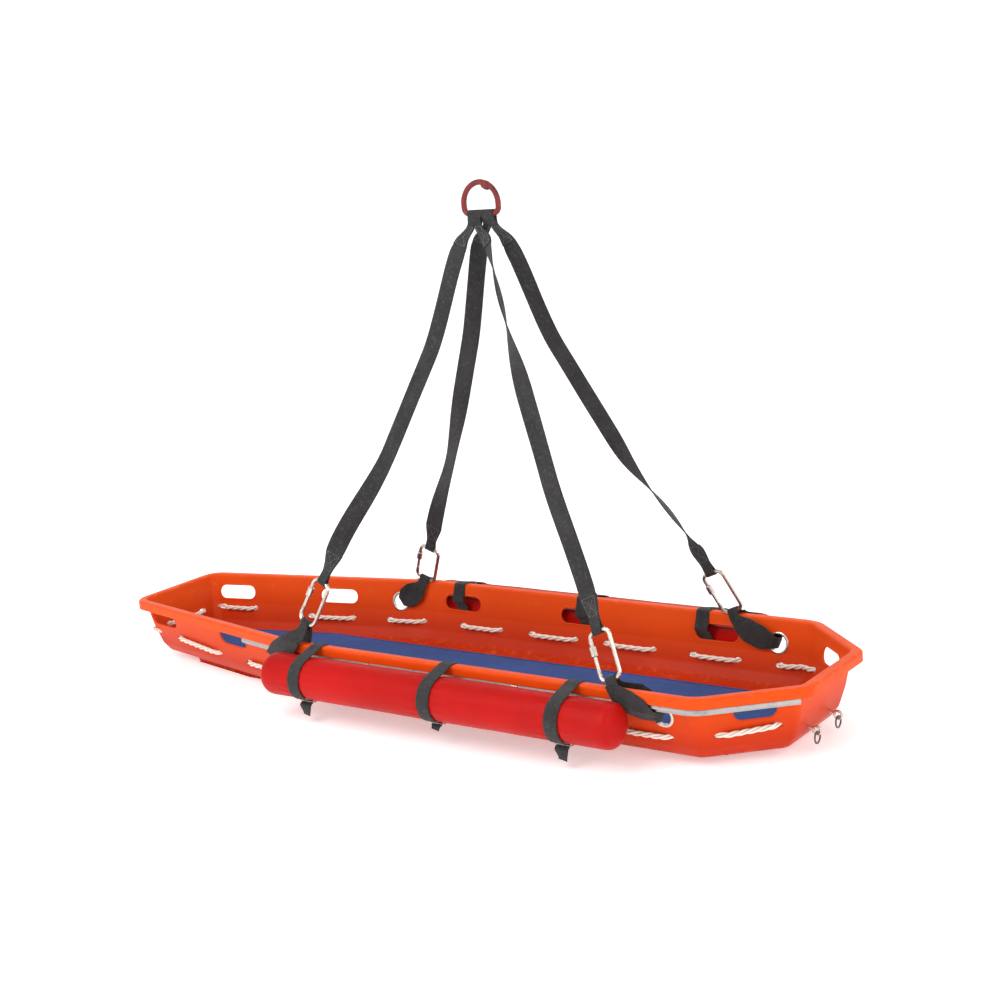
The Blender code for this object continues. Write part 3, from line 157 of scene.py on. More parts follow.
# Lifting pads
PAD_WIDTH = 0.064
PAD_EYELET_WIDTH = 0.030
PAD_TOP_WIDTH = 0.030
PAD_THICKNESS = 0.003
PAD_TOP_STRAIGHT = 0.014
PAD_INNER_REACH = 0.014
PAD_STATIONS = 36
PAD_BARS = {"foot_near": (0.165, 0.118, 0.010), "foot_far": (0.080, 0.070, 0.010),
            "head_near": (0.115, 0.079, 0.0227), "head_far": (0.128, 0.070, 0.010)}

# Carabiners
CARABINER_LENGTH = 0.115
CARABINER_WIDTH = 0.058
CARABINER_ROD_RADIUS = 0.005
NOSE_HEIGHT = 0.0885
SLEEVE_BORE = 0.0054
SLEEVE_RADIUS = 0.0080
SLEEVE_LENGTH = 0.024
SLEEVE_TOP_GAP = 0.0025

# Bridle
RING_PLACE = (EYELET_PLACES["foot"] + EYELET_PLACES["head"]) / 2 + 0.007
RING_BAR_HEIGHT = 1.243
RING_BAR_RADIUS = 0.007
RING_HALF_WIDTH = 0.052
RING_HEIGHT = 0.076
RING_CORNER = 0.016
RING_JOINT_PLACE = 0.022
RING_JOINT_SWELL = 0.0042
LEG_WIDTH = 0.050
LEG_PLY = 0.0026
LEG_SEWN_LENGTH = 0.085
LEG_RING_WIDTH = 0.0205
LEG_RING_PITCH = 0.0185
LEG_CARABINER_WIDTH = 0.028
LEG_FLARE = 0.10
LEG_SQUARE_TO = 0.068
LEG_NECK = 0.030
LEG_STATION_STEP = 0.008
LEG_SAG = 0.032
LEG_SAG_EASE = 0.30
LEG_TWIST_REACH = 0.24
LEG_TWISTS = {"foot_near": (-35.0, 0.85), "foot_far": (35.0, 0.70), "head_near": (70.0, 0.20),
              "head_far": (65.0, 0.82)}

BOLT_SPACING = 0.110
BOLT_HEIGHT = 0.058
BOLT_RADIUS = 0.004

# Corners of the mattress on the far side, from foot to head, and which way is inward along X
MATTRESS_PLAN = ((FOOT + 0.100, 0.078, 1), (FOOT + TAPER_LENGTH - 0.280, 0.158, 0),
                 (HEAD - CHAMFER_LENGTH, 0.158, 0), (HEAD - 0.140, 0.120, -1))
PIPING_INSET = 0.002
PIPING_DROP = 0.0075
PIPING_RADIUS = 0.0030
PIPING_CORNER_RADIUS = 0.014
PIPING_CORNER_STEPS = 6

SIDES = (("near", -1.0), ("far", 1.0))
CORNERS = tuple((end, side, x_sign, y_sign)
                for end, x_sign in (("foot", -1.0), ("head", 1.0))
                for side, y_sign in SIDES)


# What a user may change

def colour_property(name, description, default):
    return bpy.props.FloatVectorProperty(name=name, description=description, default=default,
                                         subtype="COLOR", size=3, min=0.0, max=1.0)


def length_property(name, description, default):
    return bpy.props.FloatProperty(name=name, description=description, default=default,
                                   unit="LENGTH", min=0.0)


class StretcherColours(bpy.types.PropertyGroup):
    hull: colour_property("Hull", "Moulded hull plastic", (0.80, 0.076, 0.003))
    # Painted shade: the darker, redder colour the hull takes low down, where its wall is in shade
    hull_low_shade: colour_property("Hull, deeper", "Redder lower part of the hull plastic",
                               (0.50, 0.026, 0.003))
    hull_scuff: colour_property("Hull, scuffed", "Pale rubbed edges of the hull",
                                (0.82, 0.24, 0.09))
    float_skin: colour_property("Float skin", "Coated fabric of the floats",
                                (0.52, 0.006, 0.004))
    mattress: colour_property("Mattress", "Mattress cover", (0.014, 0.062, 0.235))
    webbing: colour_property("Webbing", "Straps, pads and sling legs", (0.031, 0.029, 0.030))
    webbing_fleck: colour_property("Webbing flecks", "Pale yarns that show in the webbing",
                                   (0.11, 0.105, 0.10))
    thread: colour_property("Thread", "Stitching of the webbing", (0.16, 0.155, 0.15))
    rope: colour_property("Rope", "Lacing rope", (0.87, 0.76, 0.65))
    rope_groove: colour_property("Rope grooves", "Shade between the strands", (0.20, 0.14, 0.11))
    aluminium: colour_property("Aluminium", "Bare rail tube", (0.42, 0.41, 0.40))
    steel: colour_property("Steel", "Plated fittings", (0.66, 0.61, 0.53))
    dark_steel: colour_property("Dark steel", "Towing rings", (0.17, 0.165, 0.16))
    ring_paint: colour_property("Ring paint", "Paint of the master ring", (0.22, 0.017, 0.014))


class StretcherSizes(bpy.types.PropertyGroup):
    rope_lay: length_property("Rope lay", "Length of one turn of a strand", 0.078)
    webbing_rib: length_property("Webbing rib", "Distance between ribs across a strap", 0.0021)
    webbing_pick: length_property("Webbing pick", "Distance between picks along a strap", 0.0017)
    stitch_pitch: length_property("Stitch pitch", "Distance from stitch to stitch", 0.0048)
    stitch_length: length_property("Stitch length", "Length of one stitch", 0.0034)
    float_pinch: length_property("Float pinch", "How far a strap presses into its float", 0.0022)
    mattress_swell: length_property("Mattress swell", "Most that the cover may swell", 0.005)
    mattress_voxel: length_property("Mattress voxel", "Mesh size of the cover", 0.008)
    knurl_depth: length_property("Knurl depth", "Depth of the sleeve's diamonds", 0.0004)


class StretcherStage(bpy.types.PropertyGroup):
    floor: colour_property("Floor", "Pale studio floor", (0.96, 0.96, 0.96))
    floor_glow: bpy.props.FloatProperty(name="Floor glow", description="Light that the paper gives",
                                        default=0.38, min=0.0)
    key_power: bpy.props.FloatProperty(name="Key light", description="Power of the main soft light",
                                       default=114.0, unit="POWER", min=0.0)
    fill_power: bpy.props.FloatProperty(name="Fill light", description="Power of the fill light",
                                        default=34.0, unit="POWER", min=0.0)
    sky: bpy.props.FloatProperty(name="Sky", description="Strength of the even light all round",
                                 default=0.48, min=0.0)


def colours():
    return bpy.context.scene.stretcher_colours


def sizes():
    return bpy.context.scene.stretcher_sizes


def stage_settings():
    return bpy.context.scene.stretcher_stage


# Small geometry helpers

def smooth(value):
    value = min(1.0, max(0.0, value))
    return value * value * (3 - 2 * value)


def arc(centre, radius, start, end, steps):
    """Points on a flat arc, from one angle in degrees to another."""
    return [(centre[0] + radius * cos(radians(start + (end - start) * step / steps)),
             centre[1] + radius * sin(radians(start + (end - start) * step / steps)))
            for step in range(steps + 1)]


def frame_matrix(x_axis, y_axis, z_axis, origin):
    turned = Matrix((x_axis, y_axis, z_axis)).transposed().to_4x4()
    turned.translation = origin
    return turned


def path_lengths(path):
    lengths = [0.0]
    for before, after in zip(path, path[1:]):
        lengths.append(lengths[-1] + (Vector(after) - Vector(before)).length)
    return lengths


def cut_finer(path, step):
    """The same path with more points, none further apart than a step."""
    finer = [Vector(path[0])]
    for before, after in zip(path, path[1:]):
        before = Vector(before)
        after = Vector(after)
        pieces = max(1, int((after - before).length / step + 0.999))
        finer += [before.lerp(after, piece / pieces) for piece in range(1, pieces + 1)]
    return finer


def rounded(path, radii, steps):
    """A flat path whose inner corners are rounded, one radius for each corner."""
    turned = [Vector(path[0])]
    for index, radius in enumerate(radii, 1):
        here = Vector(path[index])
        before = (Vector(path[index - 1]) - here)
        after = (Vector(path[index + 1]) - here)
        half = before.angle(after) / 2
        reach = min(radius / tan(half), 0.45 * before.length, 0.45 * after.length)
        start = here + before.normalized() * reach
        stop = here + after.normalized() * reach
        for step in range(steps + 1):
            share = step / steps
            first = start.lerp(here, share)
            turned.append(first.lerp(here.lerp(stop, share), share))
    turned.append(Vector(path[-1]))
    return turned


def ripple(point, size, seed=0.0):
    """Smooth noise from -1 to 1 at a place."""
    return noise.noise(Vector(point) / size + Vector((seed, seed * 1.7, seed * 0.3)))


# Mesh helpers

def bent_grid(lengths, columns, place, width, closed_along=False, closed_across=False):
    """A grid with a row of vertices for each station; place(station, share) puts each vertex.
    Its UV map "weave" holds the distance along and across, in metres."""
    cells = len(lengths) - 1
    shape = bmesh.new()
    weave = shape.loops.layers.uv.new("weave")
    bmesh.ops.create_grid(shape, x_segments=cells, y_segments=columns, size=0.5)
    for face in shape.faces:
        for loop in face.loops:
            station = round((loop.vert.co.x + 0.5) * cells)
            loop[weave].uv = (lengths[station], (loop.vert.co.y + 0.5) * width)
    for vertex in shape.verts:
        vertex.co = place(round((vertex.co.x + 0.5) * cells), vertex.co.y + 0.5)
    if closed_along or closed_across:
        bmesh.ops.remove_doubles(shape, verts=shape.verts, dist=0.000002)
    bmesh.ops.recalc_face_normals(shape, faces=shape.faces)
    return shape


def spun_shape(profile, steps, closed=False):
    """A profile of (radius, height) points, spun round Z."""
    shape = bmesh.new()
    corners = [shape.verts.new((radius, 0.0, height)) for radius, height in profile]
    edges = [shape.edges.new(pair) for pair in zip(corners, corners[1:])]
    if closed:
        edges.append(shape.edges.new((corners[-1], corners[0])))
    bmesh.ops.spin(shape, geom=corners + edges, axis=UP, cent=(0.0, 0.0, 0.0), angle=2 * pi,
                   steps=steps, use_merge=True)
    bmesh.ops.remove_doubles(shape, verts=shape.verts, dist=0.000002)
    bmesh.ops.recalc_face_normals(shape, faces=shape.faces)
    return shape


def mesh_of(shape, name):
    mesh = bpy.data.meshes.new(name)
    shape.to_mesh(mesh)
    shape.free()
    return mesh


def gathered(shapes, name):
    """Several shapes in one mesh."""
    whole = bmesh.new()
    for shape in shapes:
        part = mesh_of(shape, name)
        whole.from_mesh(part)
        bpy.data.meshes.remove(part)
    return mesh_of(whole, name)


def tube_shape(points, radius, sides, closed=True, plane_normal=UP):
    """A round tube along points; radius is a number or a function of the station."""
    count = len(points)
    stations = count + 1 if closed else count
    lengths = path_lengths(points + points[:1] if closed else points)

    def place(station, share):
        here = points[station % count]
        if closed:
            before, after = points[station % count - 1], points[(station + 1) % count]
        else:
            before, after = points[max(station - 1, 0)], points[min(station + 1, count - 1)]
        along = (after - before).normalized()
        side = along.cross(plane_normal).normalized()
        top = side.cross(along)
        size = radius(station % count) if callable(radius) else radius
        return here + (side * cos(2 * pi * share) + top * sin(2 * pi * share)) * size

    shape = bent_grid(lengths[:stations], sides, place, 2 * pi * 0.01, closed, True)
    if not closed:
        bmesh.ops.holes_fill(shape, edges=[edge for edge in shape.edges if edge.is_boundary])
        bmesh.ops.recalc_face_normals(shape, faces=shape.faces)
    return shape


def add_piece(name, mesh, material, body, replaced=(), sharp_angle=40.0):
    mesh.materials.clear()
    mesh.materials.append(material)
    mesh.shade_smooth()
    mesh.set_sharp_from_angle(angle=radians(sharp_angle))
    piece = bpy.data.objects.new(name, mesh)
    bpy.context.scene.collection.objects.link(piece)
    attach(piece, body)
    if replaced:
        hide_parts(*replaced)
    return piece


def thicken_strap(piece, thickness):
    """Gives a sheet of webbing its thickness and rounds its long edges."""
    ply = piece.modifiers.new("ply", "SOLIDIFY")
    ply.thickness = thickness
    ply.offset = 0.0
    edge = piece.modifiers.new("edge", "BEVEL")
    edge.width = thickness * 0.3
    edge.segments = 2
    edge.limit_method = "ANGLE"
    edge.angle_limit = radians(60)
    return piece


# Hull plan, section and walls

def plan_corners(inset):
    """Corner points of the plan at an inset, far side from foot to head, then near side back."""
    foot_x = FOOT + inset * FOOT_WALL_LEAN
    head_x = HEAD - inset * HEAD_WALL_LEAN
    side_y = HULL_WIDTH / 2 - inset
    taper = atan2((HULL_WIDTH - FOOT_WIDTH) / 2, TAPER_LENGTH)
    chamfer = atan2((HULL_WIDTH - HEAD_WIDTH) / 2, CHAMFER_LENGTH)
    kink_x = FOOT + TAPER_LENGTH + inset * tan(taper / 2)
    shoulder_x = HEAD - CHAMFER_LENGTH - inset * tan(chamfer / 2)
    foot_y = side_y - (kink_x - foot_x) * tan(taper)
    head_y = side_y - (head_x - shoulder_x) * tan(chamfer)
    far = [(foot_x, foot_y), (kink_x, side_y), (shoulder_x, side_y), (head_x, head_y)]
    far = [(x, y, radius) for (x, y), radius in zip(far, CORNER_RADII)]
    return far + [(x, -y, radius) for x, y, radius in reversed(far)]


def plan_loop(inset):
    """The rounded plan at an inset from the rim's outer edge, always with as many points."""
    corners = plan_corners(inset)
    loop = []
    for index, (x, y, radius) in enumerate(corners):
        here = Vector((x, y))
        before = (Vector(corners[index - 1][:2]) - here).normalized()
        after = (Vector(corners[(index + 1) % len(corners)][:2]) - here).normalized()
        half = before.angle(after) / 2
        rounding = max(radius - inset, SMALLEST_CORNER_RADIUS)
        centre = here + (before + after).normalized() * rounding / sin(half)
        start = here + before * rounding / tan(half) - centre
        sweep = pi - 2 * half
        for step in range(CORNER_STEPS + 1):
            turned = start.copy()
            turned.rotate(Matrix.Rotation(-sweep * step / CORNER_STEPS, 2))
            loop.append(centre + turned)
    return loop


def wall_rows():
    """Inset and height of the wall's inner face, from the lip down to the floor."""
    return [(LIP_WIDTH + LIP_TO_WALL, RIM_HEIGHT - UPPER_WALL_DROP),
            (SHELF_INSET, SHELF_HEIGHT), (LOWER_WALL_INSET, LOWER_WALL_HEIGHT),
            (BILGE_INSET, BILGE_HEIGHT), (FLOOR_INSET, FLOOR_TOP)]


def wall_inset(height):
    rows = [(LIP_WIDTH, RIM_HEIGHT)] + wall_rows()
    for (inset_a, height_a), (inset_b, height_b) in zip(rows, rows[1:]):
        if height_b <= height <= height_a:
            return inset_a + (inset_b - inset_a) * (height_a - height) / (height_a - height_b)
    return rows[-1][0]


def wall_slope(height):
    step = 0.001
    return (wall_inset(height - step) - wall_inset(height + step)) / (2 * step)


def middle_inset(height):
    """Inset of the wall's middle surface."""
    return wall_inset(height) - WALL / 2 * sqrt(1 + wall_slope(height) ** 2)


def wall_frame(place, side_sign, height):
    """Point on the wall's middle at a place along X, with the along and outward directions."""
    corners = plan_corners(middle_inset(height))[:4]
    for (x_a, y_a, _), (x_b, y_b, _) in zip(corners, corners[1:]):
        if place <= x_b:
            break
    along = Vector((x_b - x_a, y_b - y_a, 0.0)).normalized()
    point = Vector((place, y_a + (y_b - y_a) * (place - x_a) / (x_b - x_a), height))
    outward = Vector((-along.y, along.x, 0.0))
    if side_sign < 0:
        for vector in (point, along, outward):
            vector.y = -vector.y
    return point, along, outward


def wall_matrix(place, side_sign, height, tilted):
    """Local X along the wall, local Z out of it, level or square to the leaning wall."""
    point, along, outward = wall_frame(place, side_sign, height)
    if tilted:
        outward = Vector((outward.x, outward.y, -wall_slope(height))).normalized()
    return frame_matrix(along, outward.cross(along), outward, point)


def bolt_frame(side_sign):
    """Local Z square out of the head end wall and local X across the hull."""
    lean = HEAD_WALL_LEAN * wall_slope(BOLT_HEIGHT)
    outward = Vector((1.0, 0.0, -lean)).normalized()
    across = Vector((0.0, 1.0, 0.0))
    place = HEAD - HEAD_WALL_LEAN * wall_inset(BOLT_HEIGHT)
    middle = Vector((place, side_sign * BOLT_SPACING / 2, BOLT_HEIGHT)) + outward * WALL / 2
    return frame_matrix(across, outward.cross(across), outward, middle)


def hand_holes():
    """Place along the hull and length of each hand hole."""
    holes = [(place, HAND_HOLE_LENGTH) for place in HAND_HOLE_PLACES]
    return holes + [(HEAD_HAND_HOLE_PLACE, HEAD_HAND_HOLE_LENGTH)]


def stadium(length, height, steps):
    middle = length / 2 - height / 2
    return (arc((middle, 0.0), height / 2, -90, 90, steps)
            + arc((-middle, 0.0), height / 2, 90, 270, steps))


# Rope course

def rope_height(place):
    for (place_a, height_a), (place_b, height_b) in zip(ROPE_HEIGHTS, ROPE_HEIGHTS[1:]):
        if place <= place_b:
            return height_a + (height_b - height_a) * max(0.0, place - place_a) / (place_b - place_a)
    return ROPE_HEIGHTS[-1][1]


def length_at(path, lengths, place):
    for index, (before, after) in enumerate(zip(path, path[1:])):
        if before.x <= place <= after.x and after.x > before.x:
            share = (place - before.x) / (after.x - before.x)
            return lengths[index] + share * (lengths[index + 1] - lengths[index])
    raise ValueError("no wall at this place")


def rope_offset(crossings, along):
    """Signed distance of the rope from the wall's middle; it starts inside at the foot."""
    reach = ROPE_CROSSING_REACH
    away = WALL / 2 + ROPE_RADIUS + ROPE_WALL_CLEARANCE
    side = -1.0
    for crossing in crossings:
        if along > crossing + reach:
            side = -side
        elif along > crossing - reach:
            turn = smooth((along - crossing + reach) / (2 * reach))
            return away * side * (1 - 2 * turn)
    return away * side


def rope_course(step):
    """The closed line of the lacing rope, evenly cut."""
    base_inset = middle_inset(ROPE_HEIGHTS[2][1])
    half = [point for point in plan_loop(base_inset) if point.y > 0.0]
    path = [Vector((half[0].x, 0.0))] + half + [Vector((half[-1].x, 0.0))]
    lengths = path_lengths(path)
    crossings = [ROPE_FOOT_CROSSING]
    crossings += [length_at(path, lengths, place) for place in ROPE_CROSSINGS]
    crossings.append(length_at(path, lengths, ROPE_HEAD_CROSSING_PLACE))
    count = round(lengths[-1] / step)
    far = []
    index = 0
    for number in range(count + 1):
        along = lengths[-1] * number / count
        while index < len(path) - 2 and lengths[index + 1] < along:
            index += 1
        direction = (path[index + 1] - path[index]).normalized()
        flat = path[index] + direction * (along - lengths[index])
        outward = Vector((-direction.y, direction.x))
        height = rope_height(flat.x)
        flat = flat + outward * (base_inset - middle_inset(height) + rope_offset(crossings, along))
        far.append(Vector((*flat, height)))
    loop = far + [Vector((point.x, -point.y, point.z)) for point in far[1:-1]][::-1]
    for _ in range(2):
        loop = [(loop[index - 1] + loop[index] * 2 + loop[(index + 1) % len(loop)]) / 4
                for index in range(len(loop))]
    return loop


# Strap, pad and leg courses

def float_centre_distance():
    rise = RAIL_HEIGHT - FLOAT_CENTRE_HEIGHT
    reach = FLOAT_RADIUS + RAIL_RADIUS + RAIL_CLIP_THICKNESS + 3 * FIT_GAP
    return HULL_WIDTH / 2 - RAIL_INSET + sqrt(reach ** 2 - rise ** 2)


def tangent_angle(first, first_radius, second, second_radius, crossed):
    """Bearing in degrees of the tangent that leaves one circle for the next, on its outer side."""
    away = Vector(second) - Vector(first)
    reach = first_radius + second_radius if crossed else first_radius - second_radius
    return degrees(atan2(away.y, away.x) + acos(reach / away.length))


def strap_course(tail):
    """Line of a float strap in the section plane: outward distance and height."""
    half = STRAP_THICKNESS / 2
    outer = HULL_WIDTH / 2
    centre = (float_centre_distance(), FLOAT_CENTRE_HEIGHT)
    lap = FLOAT_RADIUS + half + FIT_GAP
    lip_lap = LIP_ROUND + half + FIT_GAP
    bar_lap = BUCKLE_WIRE_RADIUS + half + FIT_GAP
    inner_bar = (centre[0] - BUCKLE_LENGTH / 2, centre[1] - lap - bar_lap)
    outer_bar = (centre[0] + BUCKLE_LENGTH / 2, centre[1] - lap - bar_lap)
    lip_inner = (outer - LIP_WIDTH + LIP_ROUND, RIM_HEIGHT - LIP_ROUND)
    lip_outer = (outer - LIP_ROUND, RIM_HEIGHT - LIP_ROUND)
    over_float = tangent_angle(lip_outer, lip_lap, centre, lap, False)
    to_bar = tangent_angle(centre, lap, outer_bar, bar_lap, True)
    sill = HAND_HOLE_CENTRE_HEIGHT
    wall_top = RIM_HEIGHT - UPPER_WALL_DROP
    stand_off = half + STRAP_WALL_GAP
    face_top = outer - wall_inset(wall_top) - stand_off
    face_low = outer - wall_inset(sill) - stand_off
    slack = STRAP_THICKNESS * 2.5
    path = arc(inner_bar, bar_lap, -110, -to_bar, 12)
    path += arc(centre, lap, 180 - to_bar, 200, 8)
    path += [(face_low + 2 * WALL, sill - slack), (face_low - slack, sill + slack)]
    path += [(face_low - half, sill + 3 * slack), (face_top, wall_top)]
    path += arc(lip_inner, lip_lap, 165, 90, 6) + arc(lip_outer, lip_lap, 90, over_float, 4)
    path += arc(centre, lap, over_float, to_bar, 40)
    path += arc(outer_bar, bar_lap, 180 + to_bar, 262, 10)
    end = path[-1]
    path += [(end[0] + out, end[1] - down) for out, down in STRAP_TAIL_BEND]
    path.append((end[0] + STRAP_TAIL_REACH, path[-1][1] - tail))
    return cut_finer(path, 0.006)


class Corner:
    """Where the pad, carabiner and sling leg of one corner lie."""

    def __init__(self, end, side, end_sign, side_sign):
        self.name = f"{end}_{side}"
        self.side_sign = side_sign
        self.place = EYELET_PLACES[end]
        self.eyelet, along, self.outward = wall_frame(self.place, side_sign, EYELET_HEIGHT)
        self.along = along * -end_sign
        self.run, self.rise, self.bar_out = PAD_BARS[self.name]
        self.lower_bar = (self.eyelet + self.along * self.run + UP * self.rise
                          + self.outward * self.bar_out)
        order = (1.0 if side == "far" else -1.0) + end_sign / 2
        self.ring_eye = Vector((RING_PLACE + order * LEG_RING_PITCH, 0.0, RING_BAR_HEIGHT))
        self.pull = (self.ring_eye - self.lower_bar).normalized()
        self.upper_bar = self.lower_bar + self.pull * CARABINER_LENGTH
        self.flat_pull = Vector((self.pull.dot(self.along), self.pull.z)).normalized()
        self.bar = self.along * self.flat_pull.y - UP * self.flat_pull.x
        if self.bar.x < 0:
            self.bar = -self.bar
        self.spine = self.pad_spine()
        self.spine_lengths = path_lengths(self.spine)
        self.set_leg_axes()

    def pad_spine(self):
        """The pad's middle line in the plane of the wall, from the eyelet to the lower bar."""
        bar = Vector((self.run, self.rise))
        stop = bar - self.flat_pull * PAD_TOP_STRAIGHT
        bend = bar - self.flat_pull * self.rise / 2
        steps = 24
        line = []
        for step in range(steps + 1):
            share = step / steps
            line.append(bend * 2 * share * (1 - share) + stop * share ** 2)
        return line + [bar]

    def pad_point(self, along, across, out):
        """Point of the pad: along its length, across its width, out from the wall."""
        index = 0
        while index < len(self.spine) - 2 and self.spine_lengths[index + 1] < along:
            index += 1
        direction = (self.spine[index + 1] - self.spine[index]).normalized()
        flat = self.spine[index] + direction * (along - self.spine_lengths[index])
        flat += Vector((direction.y, -direction.x)) * across
        return self.eyelet + self.along * flat.x + UP * flat.y + self.outward * out

    def carabiner_matrix(self):
        return frame_matrix(self.bar, self.pull.cross(self.bar), self.pull, self.lower_bar)

    def set_leg_axes(self):
        span = self.upper_bar - self.ring_eye
        self.leg_length = span.length
        self.down = span / self.leg_length
        ring_bar = Vector((1.0, 0.0, 0.0))
        self.slant = self.down.dot(ring_bar)
        self.first = (ring_bar - self.down * self.slant).normalized()
        self.second = self.down.cross(self.first)
        self.lift = (UP - self.down * self.down.z).normalized()
        self.bar_angle = atan2(self.bar.dot(self.second), self.bar.dot(self.first))

    def leg_point(self, along, out, across):
        """Point of the leg; its width turns from the ring's bar to the carabiner's bar."""
        turned, centre = LEG_TWISTS[self.name]
        share = along / self.leg_length
        bump = smooth(1.0 - abs(share - centre) / LEG_TWIST_REACH)
        bump *= smooth((self.leg_length - along - LEG_NECK) / LEG_SEWN_LENGTH)
        angle = self.bar_angle * smooth(share) + radians(turned) * bump
        twisted = self.first * cos(angle) + self.second * sin(angle)
        leave_ring = smooth((along - 0.020) / 0.08)
        ring_bar = Vector((1.0, 0.0, 0.0))
        width_way = ring_bar * (1 - leave_ring) + twisted * leave_ring
        thick_way = self.down.cross(width_way).normalized()
        square = ring_bar * self.slant * along * smooth((LEG_SQUARE_TO - along) / 0.045)
        hang = LEG_SAG * smooth((along - LEG_SQUARE_TO) / LEG_SAG_EASE)
        hang *= smooth((self.leg_length - along - LEG_SEWN_LENGTH) / LEG_SAG_EASE)
        line = self.ring_eye + self.down * along - square - self.lift * hang
        return line + thick_way * out + width_way * across

    def leg_width(self, along):
        flare = LEG_RING_WIDTH + (LEG_WIDTH - LEG_RING_WIDTH) * smooth((along - 0.015) / LEG_FLARE)
        gather = smooth((self.leg_length - along - 0.020) / 0.07)
        return min(flare, LEG_CARABINER_WIDTH + (LEG_WIDTH - LEG_CARABINER_WIDTH) * gather)


def pad_width(along, length):
    grown = PAD_EYELET_WIDTH + (PAD_WIDTH - PAD_EYELET_WIDTH) * smooth(along / (0.32 * length))
    closed = smooth((length - along - 0.012) / (0.38 * length))
    return min(grown, PAD_TOP_WIDTH + (PAD_WIDTH - PAD_TOP_WIDTH) * closed)


def pad_limits():
    """How far out the pad's branches must stay from the wall's middle beside the lip."""
    lip = middle_inset(EYELET_HEIGHT)
    outer = lip + PAD_THICKNESS / 2 + 2 * FIT_GAP
    inner = lip - LIP_WIDTH - PAD_THICKNESS / 2 - 2 * FIT_GAP
    return outer, inner


def pad_course(length, bar_out):
    """Closed centre line of the webbing loop: along the pad, and out from the wall."""
    lap = CARABINER_ROD_RADIUS + PAD_THICKNESS / 2 + FIT_GAP
    outer, _ = pad_limits()
    inner = -PAD_INNER_REACH
    foot = 0.024
    top = length - 0.004
    outer_run = []
    inner_run = []
    for step in range(PAD_STATIONS + 1):
        share = step / PAD_STATIONS
        along = foot + (top - foot) * share
        lean = max(0.0, (share - 0.5) / 0.5)
        outer_run.append((along, outer + (bar_out + lap - outer) * lean))
        inner_run.append((along, inner + (bar_out - lap - inner) * lean))
    path = [(0.0, 0.004), (0.0012, 0.011), (0.003, 0.018), (0.009, 0.030)] + outer_run
    path += arc((length, bar_out), lap, 72, -72, 8)
    path += inner_run[::-1] + [(0.010, inner * 0.75), (0.003, inner * 0.4), (0.0012, 0.0)]
    return path


def beside_lip(out, height, bar_out):
    """Leads the pad's branches round the lip and rail, and between the rail and the float."""
    outer, inner = pad_limits()
    low = RAIL_HEIGHT - RAIL_RADIUS - PAD_THICKNESS
    if height > RIM_HEIGHT + 2 * PAD_THICKNESS:
        return out
    if out < bar_out:
        return min(out, inner) if height > low else out
    beside_rail = outer - RAIL_INSET + RAIL_RADIUS
    if height < low:
        return min(out, beside_rail - (low - height))
    return max(out, outer if height > RAIL_HEIGHT - PAD_THICKNESS else beside_rail)


def leg_course(corner):
    """Line of one leg's webbing in its own side view, from one sewn end to the other."""
    length = corner.leg_length
    half = LEG_PLY / 2
    squeeze = sqrt(1.0 - corner.slant ** 2)
    ring_lap = RING_BAR_RADIUS + half + FIT_GAP
    bar_lap = CARABINER_ROD_RADIUS + half + FIT_GAP
    step_off = LEG_SEWN_LENGTH + 0.012
    path = [(LEG_SEWN_LENGTH, half * 1.05), (LEG_NECK, half * 1.05)]
    path += [(x / squeeze, y) for x, y in arc((0.0, 0.0), ring_lap, 60, 300, 16)]
    path += [(LEG_NECK, -half * 1.05), (LEG_SEWN_LENGTH, -half * 1.05), (step_off, 0.0)]
    path += [(length - step_off, 0.0), (length - LEG_SEWN_LENGTH, half * 1.05)]
    path += [(length - LEG_NECK, half * 1.05)]
    path += arc((length, 0.0), bar_lap, 120, -120, 14)
    path += [(length - LEG_NECK, -half * 1.05), (length - LEG_SEWN_LENGTH, -half * 1.05)]
    return cut_finer(path, LEG_STATION_STEP)


# Node tree helpers

class Wiring:
    """Adds nodes to a tree; an input given as a socket is linked, any other is set."""

    def __init__(self, tree):
        self.tree = tree

    def fill(self, node, inputs):
        for key, value in inputs.items():
            socket = node.inputs[key]
            if isinstance(value, bpy.types.NodeSocket):
                self.tree.links.new(value, socket)
            else:
                socket.default_value = value
        return node

    def node(self, kind, inputs=None, **settings):
        made = self.tree.nodes.new(kind)
        for key, value in settings.items():
            setattr(made, key, value)
        return self.fill(made, inputs or {})

    def math(self, operation, first, second=0.0, clamp=False):
        made = self.node("ShaderNodeMath", {0: first, 1: second}, operation=operation,
                         use_clamp=clamp)
        return made.outputs[0]

    def span(self, value, low, high, to_low=0.0, to_high=1.0):
        made = self.node("ShaderNodeMapRange", {0: value, 1: low, 2: high, 3: to_low, 4: to_high},
                         interpolation_type="SMOOTHSTEP")
        return made.outputs[0]

    def blend(self, factor, first, second):
        made = self.node("ShaderNodeMix", {0: factor, 6: first, 7: second}, data_type="RGBA")
        return made.outputs[2]

    def noise(self, vector, scale, detail=2.0, roughness=0.5):
        made = self.node("ShaderNodeTexNoise", {"Vector": vector, "Scale": scale, "Detail": detail,
                                                "Roughness": roughness})
        return made.outputs["Fac"]

    def stretched(self, vector, scale):
        made = self.node("ShaderNodeMapping", {"Vector": vector, "Scale": scale})
        return made.outputs["Vector"]

    def bump(self, height, distance, strength=1.0, below=None):
        inputs = {"Height": height, "Distance": distance, "Strength": strength}
        if below is not None:
            inputs["Normal"] = below
        return self.node("ShaderNodeBump", inputs).outputs["Normal"]

    def place(self):
        return self.node("ShaderNodeTexCoord").outputs["Object"]

    def weave_map(self):
        return self.node("ShaderNodeUVMap", uv_map="weave").outputs["UV"]

    def group(self, tree, inputs):
        made = self.node("ShaderNodeGroup", node_tree=tree)
        return self.fill(made, inputs).outputs


def colour(value):
    return (*value, 1.0)


